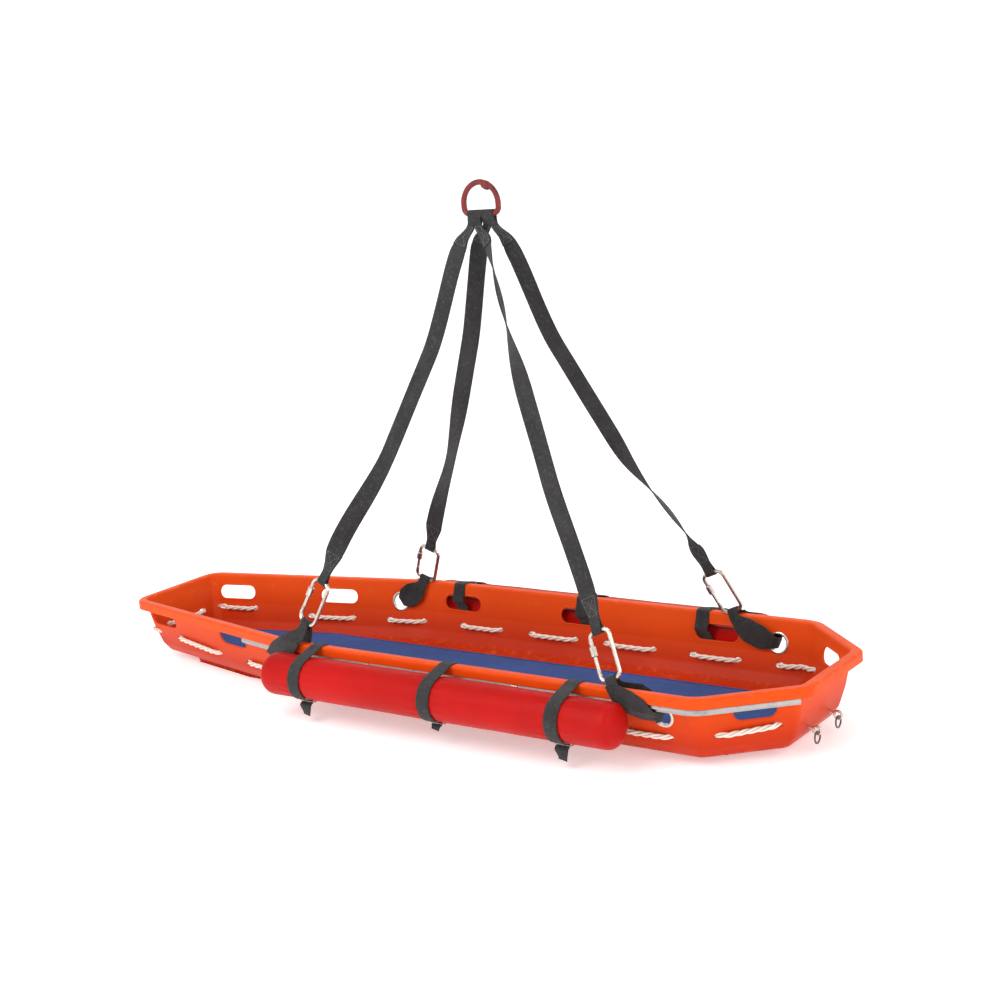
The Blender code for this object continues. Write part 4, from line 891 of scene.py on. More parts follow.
def effect_group(name, inputs, outputs):
    """An empty node group with named sockets; returns its wiring, inputs and output node."""
    tree = bpy.data.node_groups.new(name, "ShaderNodeTree")
    for label, kind, default in inputs:
        socket = tree.interface.new_socket(name=label, in_out="INPUT", socket_type=kind)
        if default is not None:
            socket.default_value = default
    for label in outputs:
        tree.interface.new_socket(name=label, in_out="OUTPUT", socket_type="NodeSocketFloat")
    wiring = Wiring(tree)
    entry = wiring.node("NodeGroupInput").outputs
    leave = wiring.node("NodeGroupOutput")
    return wiring, entry, leave


def grain_group():
    """Fine moulded or coated grain and slow patches, from a place."""
    wiring, entry, leave = effect_group(
        "fine_grain", [("Vector", "NodeSocketVector", None), ("Scale", "NodeSocketFloat", 300.0),
                       ("Patch Scale", "NodeSocketFloat", 6.0)], ["Height", "Patches"])
    grain = wiring.noise(entry["Vector"], entry["Scale"], 3.0, 0.55)
    patches = wiring.noise(entry["Vector"], entry["Patch Scale"], 4.0, 0.6)
    wiring.fill(leave, {"Height": grain, "Patches": wiring.span(patches, 0.3, 0.7)})
    return wiring.tree


def scratch_group():
    """Thin long scratches where patches of wear lie, from a place."""
    wiring, entry, leave = effect_group(
        "rubbed_scratches", [("Vector", "NodeSocketVector", None),
                             ("Scale", "NodeSocketFloat", 60.0),
                             ("Threshold", "NodeSocketFloat", 0.66)], ["Mask"])
    long_way = wiring.stretched(entry["Vector"], (0.12, 1.0, 1.0))
    other_way = wiring.stretched(entry["Vector"], (1.0, 0.35, 0.12))
    first = wiring.noise(long_way, entry["Scale"], 5.0, 0.7)
    second = wiring.noise(other_way, entry["Scale"], 5.0, 0.7)
    high = wiring.math("MAXIMUM", first, second)
    upper = wiring.math("ADD", entry["Threshold"], 0.06)
    spread = wiring.node("ShaderNodeMapRange", {0: high, 1: entry["Threshold"], 2: upper})
    wiring.fill(leave, {"Mask": spread.outputs[0]})
    return wiring.tree


def weave_group():
    """Ribs and picks of a flat woven strap, from distances along and across it in metres."""
    wiring, entry, leave = effect_group(
        "woven_ribs", [("Vector", "NodeSocketVector", None), ("Pick", "NodeSocketFloat", 0.0017),
                       ("Rib", "NodeSocketFloat", 0.0021)], ["Height", "Shade"])
    parts = wiring.node("ShaderNodeSeparateXYZ", {0: entry["Vector"]}).outputs
    along = wiring.math("DIVIDE", parts["X"], entry["Pick"])
    across = wiring.math("DIVIDE", parts["Y"], entry["Rib"])
    row = wiring.math("FLOOR", across)
    shifted = wiring.math("ADD", along, wiring.math("MULTIPLY", row, 0.5))
    pick = wiring.math("ABSOLUTE", wiring.math("SINE", wiring.math("MULTIPLY", shifted, pi)))
    rib = wiring.math("ABSOLUTE", wiring.math("SINE", wiring.math("MULTIPLY", across, pi)))
    soft_rib = wiring.math("POWER", rib, 0.5)
    height = wiring.math("MULTIPLY", soft_rib, wiring.math("ADD", 0.45, wiring.math(
        "MULTIPLY", pick, 0.55)))
    # Shade is painted shade of the weave: low in the hollows between yarns, high on their crests
    wiring.fill(leave, {"Height": height, "Shade": wiring.span(height, 0.25, 0.9)})
    return wiring.tree


class Finishes:
    """Every material of the stretcher, made once and kept by name."""

    def __init__(self):
        self.made = {}
        self.groups = {}

    def group(self, name):
        makers = {"grain": grain_group, "scratches": scratch_group, "weave": weave_group}
        if name not in self.groups:
            self.groups[name] = makers[name]()
        return self.groups[name]

    def get(self, name):
        if name not in self.made:
            self.made[name] = FINISH_MAKERS[name](name)
        return self.made[name]


FINISHES = Finishes()


def start_material(name, constants):
    made = bpy.data.materials.new(name)
    made.use_nodes = True
    wiring = Wiring(made.node_tree)
    shader = made.node_tree.nodes["Principled BSDF"]
    wiring.fill(shader, constants)
    return made, wiring, shader


def hull_finish(name):
    """Orange moulded plastic with painted light: brighter along the lit lip, and painted shade that makes
    it redder and darker towards the floor.
    """
    shades = colours()
    made, wiring, shader = start_material(name, {"Specular IOR Level": 0.13,
                                                 "Subsurface Weight": 0.04,
                                                 "Subsurface Scale": 0.01})
    place = wiring.place()
    grain = wiring.group(FINISHES.group("grain"), {"Vector": place, "Scale": 520.0,
                                                   "Patch Scale": 3.2})
    scratches = wiring.group(FINISHES.group("scratches"), {
        "Vector": place, "Scale": 34.0, "Threshold": 0.68})["Mask"]
    height = wiring.node("ShaderNodeSeparateXYZ", {0: place}).outputs["Z"]
    wear = wiring.node("ShaderNodeAttribute", attribute_name="wear").outputs["Fac"]
    broken = wiring.noise(place, 42.0, 4.0, 0.7)
    rubbed = wiring.math("MULTIPLY", wear, wiring.span(broken, 0.50, 0.72))
    scuffed = wiring.math("MAXIMUM", wiring.math("MULTIPLY", rubbed, 0.45),
                          wiring.math("MULTIPLY", scratches, 0.10), clamp=True)
    # Painted light and shade by height: bright orange at the lit lip, darker and redder towards the floor;
    # slow grain patches add real tone on top
    low = wiring.span(height, 0.03, RIM_HEIGHT - 0.01, 0.85, 0.0)
    shade_and_patches = wiring.math("ADD", low, wiring.math("MULTIPLY", grain["Patches"], 0.15), clamp=True)
    plastic = wiring.blend(shade_and_patches, colour(shades.hull), colour(shades.hull_low_shade))
    wiring.fill(shader, {
        "Base Color": wiring.blend(scuffed, plastic, colour(shades.hull_scuff)),
        "Roughness": wiring.math("ADD", wiring.math("MULTIPLY", grain["Patches"], 0.08),
                                 wiring.math("ADD", 0.36, wiring.math("MULTIPLY", scuffed, 0.25)))})
    waves = wiring.bump(wiring.noise(place, 11.0, 1.0), 0.0030, 0.4)
    peel = wiring.bump(grain["Height"], 0.00030, 0.45, waves)
    wiring.fill(shader, {"Normal": wiring.bump(scratches, -0.0003, 0.25, peel)})
    return made


def float_finish(name):
    shades = colours()
    made, wiring, shader = start_material(name, {"Specular IOR Level": 0.12})
    place = wiring.place()
    grain = wiring.group(FINISHES.group("grain"), {"Vector": place, "Scale": 240.0,
                                                   "Patch Scale": 4.5})
    cells = wiring.node("ShaderNodeTexVoronoi", {"Vector": place, "Scale": 620.0},
                        feature="SMOOTH_F1").outputs["Distance"]
    scratches = wiring.group(FINISHES.group("scratches"), {
        "Vector": place, "Scale": 46.0, "Threshold": 0.70})["Mask"]
    deep = tuple(channel * 0.80 for channel in shades.float_skin)
    skin = wiring.blend(grain["Patches"], colour(shades.float_skin), colour(deep))
    worn = wiring.blend(wiring.math("MULTIPLY", scratches, 0.20), skin, (0.72, 0.07, 0.05, 1.0))
    wiring.fill(shader, {"Base Color": worn,
                         "Roughness": wiring.span(grain["Height"], 0.2, 0.8, 0.36, 0.50)})
    puckers = wiring.bump(wiring.noise(wiring.stretched(place, (1.0, 2.4, 2.4)), 16.0, 3.0, 0.55),
                          0.0025, 0.45)
    wiring.fill(shader, {"Normal": wiring.bump(cells, 0.0003, 0.5, puckers)})
    return made


def mattress_finish(name):
    shades = colours()
    made, wiring, shader = start_material(name, {"Specular IOR Level": 0.16,
                                                 "Sheen Weight": 0.05, "Sheen Roughness": 0.5})
    place = wiring.place()
    woven = wiring.group(FINISHES.group("weave"), {"Vector": place, "Pick": 0.0016,
                                                   "Rib": 0.0014})
    grain = wiring.group(FINISHES.group("grain"), {"Vector": place, "Scale": 180.0,
                                                   "Patch Scale": 5.0})
    deep = tuple(channel * 0.72 for channel in shades.mattress)
    cover = wiring.blend(grain["Patches"], colour(shades.mattress), colour(deep))
    # Painted shade: the weave's crests are drawn a lighter blue than its hollows
    cover_with_weave_shade = wiring.blend(wiring.math("MULTIPLY", woven["Shade"], 0.22), cover,
                           (0.06, 0.15, 0.42, 1.0))
    wiring.fill(shader, {"Base Color": cover_with_weave_shade,
                         "Roughness": wiring.span(grain["Height"], 0.2, 0.8, 0.58, 0.74)})
    creases = wiring.bump(wiring.noise(place, 22.0, 3.0, 0.6), 0.003, 0.5)
    wiring.fill(shader, {"Normal": wiring.bump(woven["Height"], 0.0004, 0.6, creases)})
    return made


def webbing_finish(name):
    shades = colours()
    size = sizes()
    made, wiring, shader = start_material(name, {"Specular IOR Level": 0.2,
                                                 "Sheen Weight": 0.10, "Sheen Roughness": 0.5})
    woven = wiring.group(FINISHES.group("weave"), {
        "Vector": wiring.weave_map(), "Pick": size.webbing_pick, "Rib": size.webbing_rib})
    place = wiring.place()
    fluff = wiring.noise(place, 900.0, 3.0, 0.7)
    fading = wiring.span(wiring.noise(place, 14.0, 4.0, 0.6), 0.35, 0.70)
    flecks = wiring.span(wiring.noise(place, 130.0, 4.0, 0.7), 0.50, 0.74)
    pale = tuple(channel * 1.7 for channel in shades.webbing)
    deep = tuple(channel * 0.50 for channel in shades.webbing)
    # Painted shade: the weave's hollows are drawn darker than its crests
    yarn = wiring.blend(woven["Shade"], colour(deep), colour(shades.webbing))
    faded = wiring.blend(wiring.math("MULTIPLY", fading, 0.45), yarn, colour(pale))
    flecked = wiring.blend(wiring.math("MULTIPLY", flecks, 0.5), faded, colour(shades.webbing_fleck))
    wiring.fill(shader, {"Base Color": flecked,
                         "Roughness": wiring.span(fluff, 0.2, 0.8, 0.72, 0.92)})
    ribs = wiring.bump(woven["Height"], 0.0007, 0.9)
    wiring.fill(shader, {"Normal": wiring.bump(fluff, 0.0003, 0.4, ribs)})
    return made


def thread_finish(name):
    made, wiring, shader = start_material(name, {"Specular IOR Level": 0.35,
                                                 "Sheen Weight": 0.2})
    place = wiring.place()
    twist = wiring.noise(wiring.stretched(place, (1.0, 1.0, 2.5)), 1400.0, 2.0)
    pale = tuple(channel * 1.8 for channel in colours().thread)
    wiring.fill(shader, {"Base Color": wiring.blend(twist, colour(colours().thread), colour(pale)),
                         "Roughness": wiring.span(twist, 0.2, 0.8, 0.5, 0.75),
                         "Normal": wiring.bump(twist, 0.0002, 0.6)})
    return made


def rope_finish(name):
    shades = colours()
    made, wiring, shader = start_material(name, {"Specular IOR Level": 0.3,
                                                 "Sheen Weight": 0.2, "Sheen Roughness": 0.5})
    parts = wiring.node("ShaderNodeSeparateXYZ", {0: wiring.weave_map()}).outputs
    round_way = wiring.math("DIVIDE", parts["Y"], 2 * pi * 0.01)
    from_inside = wiring.math("ABSOLUTE", wiring.math("SUBTRACT", round_way, 0.5))
    groove = wiring.span(from_inside, 0.10, 0.24, 0.7, 0.0)
    turns = wiring.math("ADD", wiring.math("MULTIPLY", parts["X"], 330.0),
                        wiring.math("MULTIPLY", round_way, 6.0))
    yarn = wiring.math("ABSOLUTE", wiring.math("SINE", wiring.math("MULTIPLY", turns, pi)))
    place = wiring.place()
    soil = wiring.span(wiring.noise(place, 19.0, 4.0, 0.6), 0.45, 0.75)
    soiled = wiring.blend(wiring.math("MULTIPLY", soil, 0.28), colour(shades.rope),
                          (0.52, 0.36, 0.24, 1.0))
    fibres = wiring.blend(wiring.math("MULTIPLY", yarn, 0.25), soiled, (0.95, 0.90, 0.82, 1.0))
    wiring.fill(shader, {"Base Color": wiring.blend(groove, fibres, colour(shades.rope_groove)),
                         "Roughness": wiring.span(yarn, 0.0, 1.0, 0.85, 0.65)})
    fuzz = wiring.bump(wiring.noise(place, 1200.0, 2.0), 0.0003, 0.35)
    wiring.fill(shader, {"Normal": wiring.bump(yarn, 0.0005, 0.6, fuzz)})
    return made


def metal_finish(name, base, roughness, brushed, scratch_scale, grime):
    """A bare or plated metal with a brushed direction, scratches and grime."""
    made, wiring, shader = start_material(name, {"Metallic": 1.0, "Anisotropic": 0.2})
    place = wiring.place()
    brush = wiring.noise(wiring.stretched(place, brushed), 420.0, 3.0, 0.6)
    scratches = wiring.group(FINISHES.group("scratches"), {
        "Vector": place, "Scale": scratch_scale, "Threshold": 0.62})["Mask"]
    soil = wiring.span(wiring.noise(place, 55.0, 5.0, 0.65), 0.50, 0.72)
    deep = tuple(channel * 0.42 for channel in base)
    bright = tuple(min(1.0, channel * 1.15) for channel in base)
    bare = wiring.blend(wiring.math("MULTIPLY", soil, grime), colour(base), colour(deep))
    wiring.fill(shader, {
        "Base Color": wiring.blend(wiring.math("MULTIPLY", scratches, 0.6), bare, colour(bright)),
        "Roughness": wiring.math("ADD", wiring.math("MULTIPLY", soil, 0.18),
                                 wiring.span(brush, 0.2, 0.8, roughness - 0.07, roughness + 0.07))})
    lines = wiring.bump(brush, 0.0002, 0.35)
    wiring.fill(shader, {"Normal": wiring.bump(scratches, -0.0002, 0.4, lines)})
    return made


def aluminium_finish(name):
    return metal_finish(name, colours().aluminium, 0.34, (0.05, 1.0, 1.0), 70.0, 0.30)


def steel_finish(name):
    return metal_finish(name, colours().steel, 0.27, (1.0, 1.0, 0.3), 150.0, 0.45)


def dark_steel_finish(name):
    return metal_finish(name, colours().dark_steel, 0.38, (1.0, 1.0, 1.0), 200.0, 0.6)


def ring_finish(name):
    shades = colours()
    made, wiring, shader = start_material(name, {"Specular IOR Level": 0.4})
    place = wiring.place()
    grain = wiring.group(FINISHES.group("grain"), {"Vector": place, "Scale": 320.0,
                                                   "Patch Scale": 24.0})
    chips = wiring.span(wiring.noise(place, 130.0, 6.0, 0.72), 0.60, 0.64)
    deep = tuple(channel * 0.55 for channel in shades.ring_paint)
    paint = wiring.blend(grain["Patches"], colour(shades.ring_paint), colour(deep))
    wiring.fill(shader, {"Base Color": wiring.blend(chips, paint, (0.16, 0.13, 0.12, 1.0)),
                         "Metallic": wiring.math("MULTIPLY", chips, 0.8),
                         "Roughness": wiring.span(grain["Height"], 0.2, 0.8, 0.34, 0.50)})
    drips = wiring.bump(grain["Height"], 0.0004, 0.4)
    wiring.fill(shader, {"Normal": wiring.bump(chips, -0.0004, 0.7, drips)})
    return made


FINISH_MAKERS = {"moulded_hull_plastic": hull_finish, "coated_float_skin": float_finish,
                 "mattress_cover": mattress_finish, "woven_webbing": webbing_finish,
                 "sewing_thread": thread_finish, "laid_rope": rope_finish,
                 "brushed_aluminium": aluminium_finish, "plated_steel": steel_finish,
                 "darkened_steel": dark_steel_finish, "chipped_ring_paint": ring_finish}


# Hull

def hull_section():
    """Rounded section of the shell's upper face, from the lip's hem down to the floor."""
    corners = [(0.0, RIM_HEIGHT - LIP_DROP), (0.0, RIM_HEIGHT), (LIP_WIDTH, RIM_HEIGHT)]
    corners += wall_rows()
    section = rounded(corners, (0.0075, 0.0075, 0.006, 0.030, 0.030, 0.020), 5)
    return cut_finer(section, 0.014)


def hull_sheet():
    section = hull_section()
    loops = [cut_finer_loop(plan_loop(inset)) for inset, _ in section]
    count = len(loops[0])
    lengths = path_lengths(loops[0] + loops[0][:1])

    def place(station, share):
        row = round(share * (len(section) - 1))
        return Vector((*loops[row][station % count], section[row][1]))

    shape = bent_grid(lengths, len(section) - 1, place, 0.3, closed_along=True)
    floor_edges = [edge for edge in shape.edges
                   if edge.is_boundary and edge.verts[0].co.z < RIM_HEIGHT / 2]
    bmesh.ops.contextual_create(shape, geom=floor_edges)
    bmesh.ops.recalc_face_normals(shape, faces=shape.faces)
    bottom = min(shape.faces, key=lambda face: face.calc_center_median().z)
    if bottom.normal.z < 0:
        bmesh.ops.reverse_faces(shape, faces=shape.faces)
    return mesh_of(shape, "hull_skin")


def cut_finer_loop(loop):
    """Extra points on the straight runs between the rounded corners, as many in every loop."""
    run_cuts = (17, 28, 4, 5, 4, 28, 17, 5)
    cut = []
    steps = CORNER_STEPS + 1
    for corner, cuts in enumerate(run_cuts):
        arc_points = loop[corner * steps:(corner + 1) * steps]
        following = loop[(corner + 1) * steps % len(loop)]
        cut += arc_points
        cut += [arc_points[-1].lerp(following, step / cuts) for step in range(1, cuts)]
    return cut


def skid_shape(side_sign):
    """A moulded runner with raked, rounded ends, a little way into the floor."""
    lean = (HULL_WIDTH - FOOT_WIDTH) / 2 / TAPER_LENGTH
    top = SKID_HEIGHT + WALL / 2
    runs = ((SKID_FOOT_PLACE, SKID_FOOT_PLACE + SKID_NOSE), (SKID_BEND_PLACE, SKID_BEND_PLACE),
            (SKID_HEAD_PLACE, SKID_HEAD_PLACE - SKID_NOSE))
    shape = bmesh.new()
    bmesh.ops.create_cube(shape, size=1.0)
    bars = [edge for edge in shape.edges
            if abs(edge.verts[0].co.x - edge.verts[1].co.x) > 0.5]
    bmesh.ops.subdivide_edges(shape, edges=bars, cuts=1, use_grid_fill=True)
    for vertex in shape.verts:
        upper_x, lower_x = runs[round(vertex.co.x * 2) + 1]
        x = upper_x if vertex.co.z > 0 else lower_x
        middle = SKID_SPACING / 2 - lean * max(0.0, SKID_BEND_PLACE - x)
        vertex.co = (x, side_sign * (middle + vertex.co.y * SKID_WIDTH),
                     top if vertex.co.z > 0 else 0.0)
    lower = [edge for edge in shape.edges if max(v.co.z for v in edge.verts) < 0.001
             and len(edge.link_faces) == 2 and edge.calc_face_angle(0.0) > 0.3]
    bmesh.ops.bevel(shape, geom=lower, offset=0.004, segments=3, profile=0.5, affect="EDGES",
                    material=-1)
    bmesh.ops.recalc_face_normals(shape, faces=shape.faces)
    return shape


def prism_shape(outline, depth, place):
    shape = bmesh.new()
    corners = [shape.verts.new(place @ Vector((x, y, -depth / 2))) for x, y in outline]
    face = shape.faces.new(corners)
    grown = bmesh.ops.extrude_face_region(shape, geom=[face])["geom"]
    lift = place.to_3x3() @ Vector((0.0, 0.0, depth))
    bmesh.ops.translate(shape, vec=lift,
                        verts=[v for v in grown if isinstance(v, bmesh.types.BMVert)])
    bmesh.ops.recalc_face_normals(shape, faces=shape.faces)
    return shape


def cylinder_shape(radius, depth, sides, place):
    shape = bmesh.new()
    bmesh.ops.create_cone(shape, cap_ends=True, segments=sides, radius1=radius, radius2=radius,
                          depth=depth, matrix=place)
    return shape


def hole_cutters():
    """Hand holes, eyelets and bolt holes, as one mesh of separate solids."""
    depth = 8 * WALL
    shapes = []
    for _, side_sign in SIDES:
        for place, length in hand_holes():
            shapes.append(prism_shape(stadium(length, HAND_HOLE_HEIGHT, 12), depth,
                                      wall_matrix(place, side_sign, HAND_HOLE_CENTRE_HEIGHT, False)))
        for place in EYELET_PLACES.values():
            shapes.append(cylinder_shape(EYELET_RADIUS, depth, 32,
                                         wall_matrix(place, side_sign, EYELET_HEIGHT, True)))
        shapes.append(cylinder_shape(BOLT_RADIUS + FIT_GAP, depth, 16, bolt_frame(side_sign)))
    return gathered(shapes, "hole_cutters")


def apply_modifiers(piece):
    """A new mesh with the piece's modifiers applied."""
    bpy.context.view_layer.update()
    evaluated = piece.evaluated_get(bpy.context.evaluated_depsgraph_get())
    return bpy.data.meshes.new_from_object(evaluated)


def carve(mesh, steps):
    """Applies a wall thickness and then union and difference cutters to a mesh."""
    scratch = bpy.data.objects.new("carving", mesh)
    bpy.context.scene.collection.objects.link(scratch)
    wall = scratch.modifiers.new("wall", "SOLIDIFY")
    wall.thickness = WALL
    wall.offset = -1.0
    wall.use_even_offset = True
    tools = []
    for cutter_mesh, operation in steps:
        tool = bpy.data.objects.new("cutter", cutter_mesh)
        bpy.context.scene.collection.objects.link(tool)
        tools.append(tool)
        cut = scratch.modifiers.new("cut", "BOOLEAN")
        cut.operation = operation
        cut.solver = "EXACT"
        cut.object = tool
    carved = apply_modifiers(scratch)
    for item in tools + [scratch]:
        bpy.data.objects.remove(item, do_unlink=True)
    return carved


def mark_wear(mesh):
    """Where hands and ground rub the hull: the lip's edges, the skids and the bilge."""
    wear = mesh.attributes.new("wear", "FLOAT", "POINT")
    for index, vertex in enumerate(mesh.vertices):
        x, _, z = vertex.co
        lip = smooth((z - (RIM_HEIGHT - 0.007)) / 0.005)
        hem = smooth((RIM_HEIGHT - LIP_DROP + 0.004 - z) / 0.004) if z > 0.15 else 0.0
        skid = smooth((0.008 - z) / 0.006)
        ends = smooth((abs(x) - 0.93) / 0.12)
        bilge = smooth((0.034 - z) / 0.010) * 0.6
        rubbed = max(lip * (0.45 + 0.55 * ends), hem * (0.3 + 0.7 * ends), skid, bilge)
        wear.data[index].value = rubbed


def hand_hole_beads():
    """The rolled edge moulded round each hand hole."""
    shapes = []
    for _, side_sign in SIDES:
        for place, length in hand_holes():
            centre, along, outward = wall_frame(place, side_sign, HAND_HOLE_CENTRE_HEIGHT)
            base = middle_inset(HAND_HOLE_CENTRE_HEIGHT)
            points = []
            for x, y in stadium(length, HAND_HOLE_HEIGHT, 12):
                lean = base - middle_inset(centre.z + y)
                points.append(centre + along * x + UP * y + outward * lean)
            shapes.append(tube_shape(points, HOLE_BEAD_RADIUS, 10, True, outward))
    return gathered(shapes, "hand_hole_beads")


def build_hull():
    rope_holes = mesh_of(tube_shape(rope_course(0.010), ROPE_HOLE_RADIUS, 12), "rope_holes")
    steps = [(mesh_of(skid_shape(side_sign), "skid"), "UNION") for _, side_sign in SIDES]
    steps += [(hole_cutters(), "DIFFERENCE"), (rope_holes, "DIFFERENCE")]
    mesh = carve(hull_sheet(), steps)
    mark_wear(mesh)
    hull = add_piece("hull_skin", mesh, FINISHES.get("moulded_hull_plastic"), BODY,
                     ("hull_shell",), 32.0)
    even = hull.modifiers.new("even_shading", "WEIGHTED_NORMAL")
    even.keep_sharp = True
    beads = hand_hole_beads()
    mark_wear(beads)
    add_piece("hand_hole_beads", beads, FINISHES.get("moulded_hull_plastic"), BODY)


# Rope

def build_rope():
    line = rope_course(ROPE_STEP)
    count = len(line)
    lengths = path_lengths(line + line[:1])
    turns = round(lengths[-1] / sizes().rope_lay)
    strand_radius = ROPE_RADIUS / (1 + 2 / sqrt(3))
    helix_radius = ROPE_RADIUS - strand_radius
    shapes = []
    for strand in range(ROPE_STRANDS):
        def place(station, share, strand=strand):
            here = line[station % count]
            along = (line[(station + 1) % count] - line[station % count - 1]).normalized()
            side = along.cross(UP).normalized()
            top = side.cross(along)
            angle = 2 * pi * (turns * (station % count) / count + strand / ROPE_STRANDS)
            outward = side * cos(angle) + top * sin(angle)
            sideways = along.cross(outward)
            spread = outward * cos(2 * pi * share) + sideways * sin(2 * pi * share)
            return here + outward * helix_radius + spread * strand_radius * 1.04
        shapes.append(bent_grid(lengths, STRAND_SIDES, place, 2 * pi * 0.01, True, True))
    add_piece("lacing_rope_strands", gathered(shapes, "lacing_rope_strands"),
              FINISHES.get("laid_rope"), BODY, ("lacing_rope",), 60.0)


# Floats and straps

def float_profile():
    """Radius and axial distance from the middle of a float, end to end; the ends are blunt."""
    shoulder = FLOAT_LENGTH / 2 - FLOAT_END_DEPTH
    power = 2 / FLOAT_END_SQUARENESS
    end = [(FLOAT_RADIUS * sin(radians(angle)) ** power,
            shoulder + FLOAT_END_DEPTH * max(0.0, cos(radians(angle))) ** power)
           for angle in range(0, 91, 6)]
    body = [(FLOAT_RADIUS, shoulder - shoulder * 2 * step / 110) for step in range(1, 110)]
    return end + body + [(radius, -height) for radius, height in reversed(end)]


def shape_float(shape, side_sign, middle):
    """Presses the straps into the skin and lets it pucker beside them."""
    pinch = sizes().float_pinch
    for vertex in shape.verts:
        x, y, z = vertex.co
        radius = sqrt(x * x + y * y)
        if radius < 0.001:
            continue
        angle = atan2(y, x)
        place = middle + z
        depth = 0.0
        for strap in STRAP_PLACES:
            away = abs(place - strap)
            depth += pinch * exp(-(away / 0.024) ** 2)
            pucker = 0.0009 * exp(-((away - 0.034) / 0.020) ** 2)
            depth += pucker * sin(angle * 17 + strap * 40 + side_sign)
        slow = 0.0012 * ripple((cos(angle), sin(angle), place * 9.0 + side_sign * 3.0), 1.0)
        seam = 0.0009 * exp(-((abs(z) - FLOAT_LENGTH / 2 + FLOAT_END_DEPTH * 0.92) / 0.0030) ** 2)
        grown = max(0.2, 1 + (seam + min(0.0, slow) - depth) / radius)
        vertex.co = (x * grown, y * grown, z)


def build_floats():
    for side, side_sign in SIDES:
        shape = spun_shape(float_profile(), 72)
        shape_float(shape, side_sign, FLOAT_PLACE)
        place = Matrix.Translation((FLOAT_PLACE, side_sign * float_centre_distance(),
                                    FLOAT_CENTRE_HEIGHT)) @ Matrix.Rotation(pi / 2, 4, "Y")
        bmesh.ops.transform(shape, matrix=place, verts=shape.verts)
        bmesh.ops.recalc_face_normals(shape, faces=shape.faces)
        piece = add_piece("float_bolster_" + side, mesh_of(shape, "float_bolster"),
                          FINISHES.get("coated_float_skin"), BODY,
                          ("float_" + side,), 60.0)


def build_float_straps():
    webbing = FINISHES.get("woven_webbing")
    columns = 10
    for side, side_sign in SIDES:
        for number, (place, tail) in enumerate(zip(STRAP_PLACES, STRAP_TAILS), 1):
            course = strap_course(tail)
            lengths = path_lengths(course)

            def put(station, share, course=course, place=place, lengths=lengths):
                out, height = course[station]
                hang = smooth((lengths[station] - lengths[-1] + 0.026) / 0.024)
                turn = STRAP_TAIL_TURN * hang
                across = (share - 0.5) * STRAP_WIDTH * (1 - 0.2 * hang)
                return Vector((place + 0.004 * hang + across * cos(turn),
                               side_sign * (out + across * sin(turn)), height))

            shape = bent_grid(lengths, columns, put, STRAP_WIDTH)
            piece = add_piece(f"strap_webbing_{side}_{number}", mesh_of(shape, "strap_webbing"),
                              webbing, BODY, (f"float_strap_{side}_{number}",))
            thicken_strap(piece, STRAP_THICKNESS)


# Stitching

def add_stitch(shape, start, stop, lift):
    """One stitch as a small rounded bead between two points, lying on a face."""
    along = stop - start
    length = along.length
    along.normalize()
    sideways = lift.cross(along).normalized()
    turned = frame_matrix(along, sideways, along.cross(sideways), (start + stop) / 2)
    scale = Matrix.Diagonal((length / 2, 0.00055, 0.00040, 1.0))
    bmesh.ops.create_icosphere(shape, subdivisions=1, radius=1.0, matrix=turned @ scale)


def box_stitch_rows(first, last, margin):
    """A box with a cross, as runs of (along, share of the width) pairs."""
    low, high = -0.5 + margin, 0.5 - margin
    return [((first, low), (last, low)), ((first, high), (last, high)),
            ((first, low), (first, high)), ((last, low), (last, high)),
            ((first, low), (last, high)), ((first, high), (last, low))]


def sew_rows(shape, rows, place, width_at):
    """Stitches along each run; place(along, across) gives a point and the lift of the face."""
    pitch = sizes().stitch_pitch
    half = sizes().stitch_length / 2
    for (along_a, share_a), (along_b, share_b) in rows:
        width = width_at((along_a + along_b) / 2)
        run = sqrt((along_b - along_a) ** 2 + ((share_b - share_a) * width) ** 2)
        count = max(1, int(run / pitch))
        for number in range(count):
            middle = (number + 0.5) / count
            ends = []
            for share in (middle - half / run, middle + half / run):
                along = along_a + (along_b - along_a) * share
                across = (share_a + (share_b - share_a) * share) * width_at(along)
                ends.append((along, across))
            start, lift = place(*ends[0])
            stop, _ = place(*ends[1])
            add_stitch(shape, start, stop, lift)


# Pads and legs

def build_lifting_pads(corners):
    webbing = FINISHES.get("woven_webbing")
    columns = 12
    for corner in corners:
        length = corner.spine_lengths[-1]
        course = [Vector(point) for point in pad_course(length, corner.bar_out)]
        count = len(course)
        lengths = path_lengths(course + course[:1])

        def surface(along, out, across, corner=corner, length=length):
            height = corner.pad_point(along, across, out).z
            led = beside_lip(out, height, corner.bar_out)
            point = corner.pad_point(along, across, led)
            fold = 0.0016 * smooth(along / 0.04) * smooth((length - along) / 0.03)
            fold *= ripple((across * 60, along * 22, corner.bar_out * 90 + led * 14), 1.0)
            return point + corner.outward * fold

        def place(station, share, corner=corner, course=course, length=length, count=count,
                  surface=surface):
            along, out = course[station % count]
            return surface(along, out, (share - 0.5) * pad_width(along, length))

        shape = bent_grid(lengths, columns, place, PAD_WIDTH, closed_along=True)
        piece = add_piece("pad_webbing_" + corner.name, mesh_of(shape, "pad_webbing"), webbing,
                          BODY, ("lifting_pad_" + corner.name,))
        thicken_strap(piece, PAD_THICKNESS)


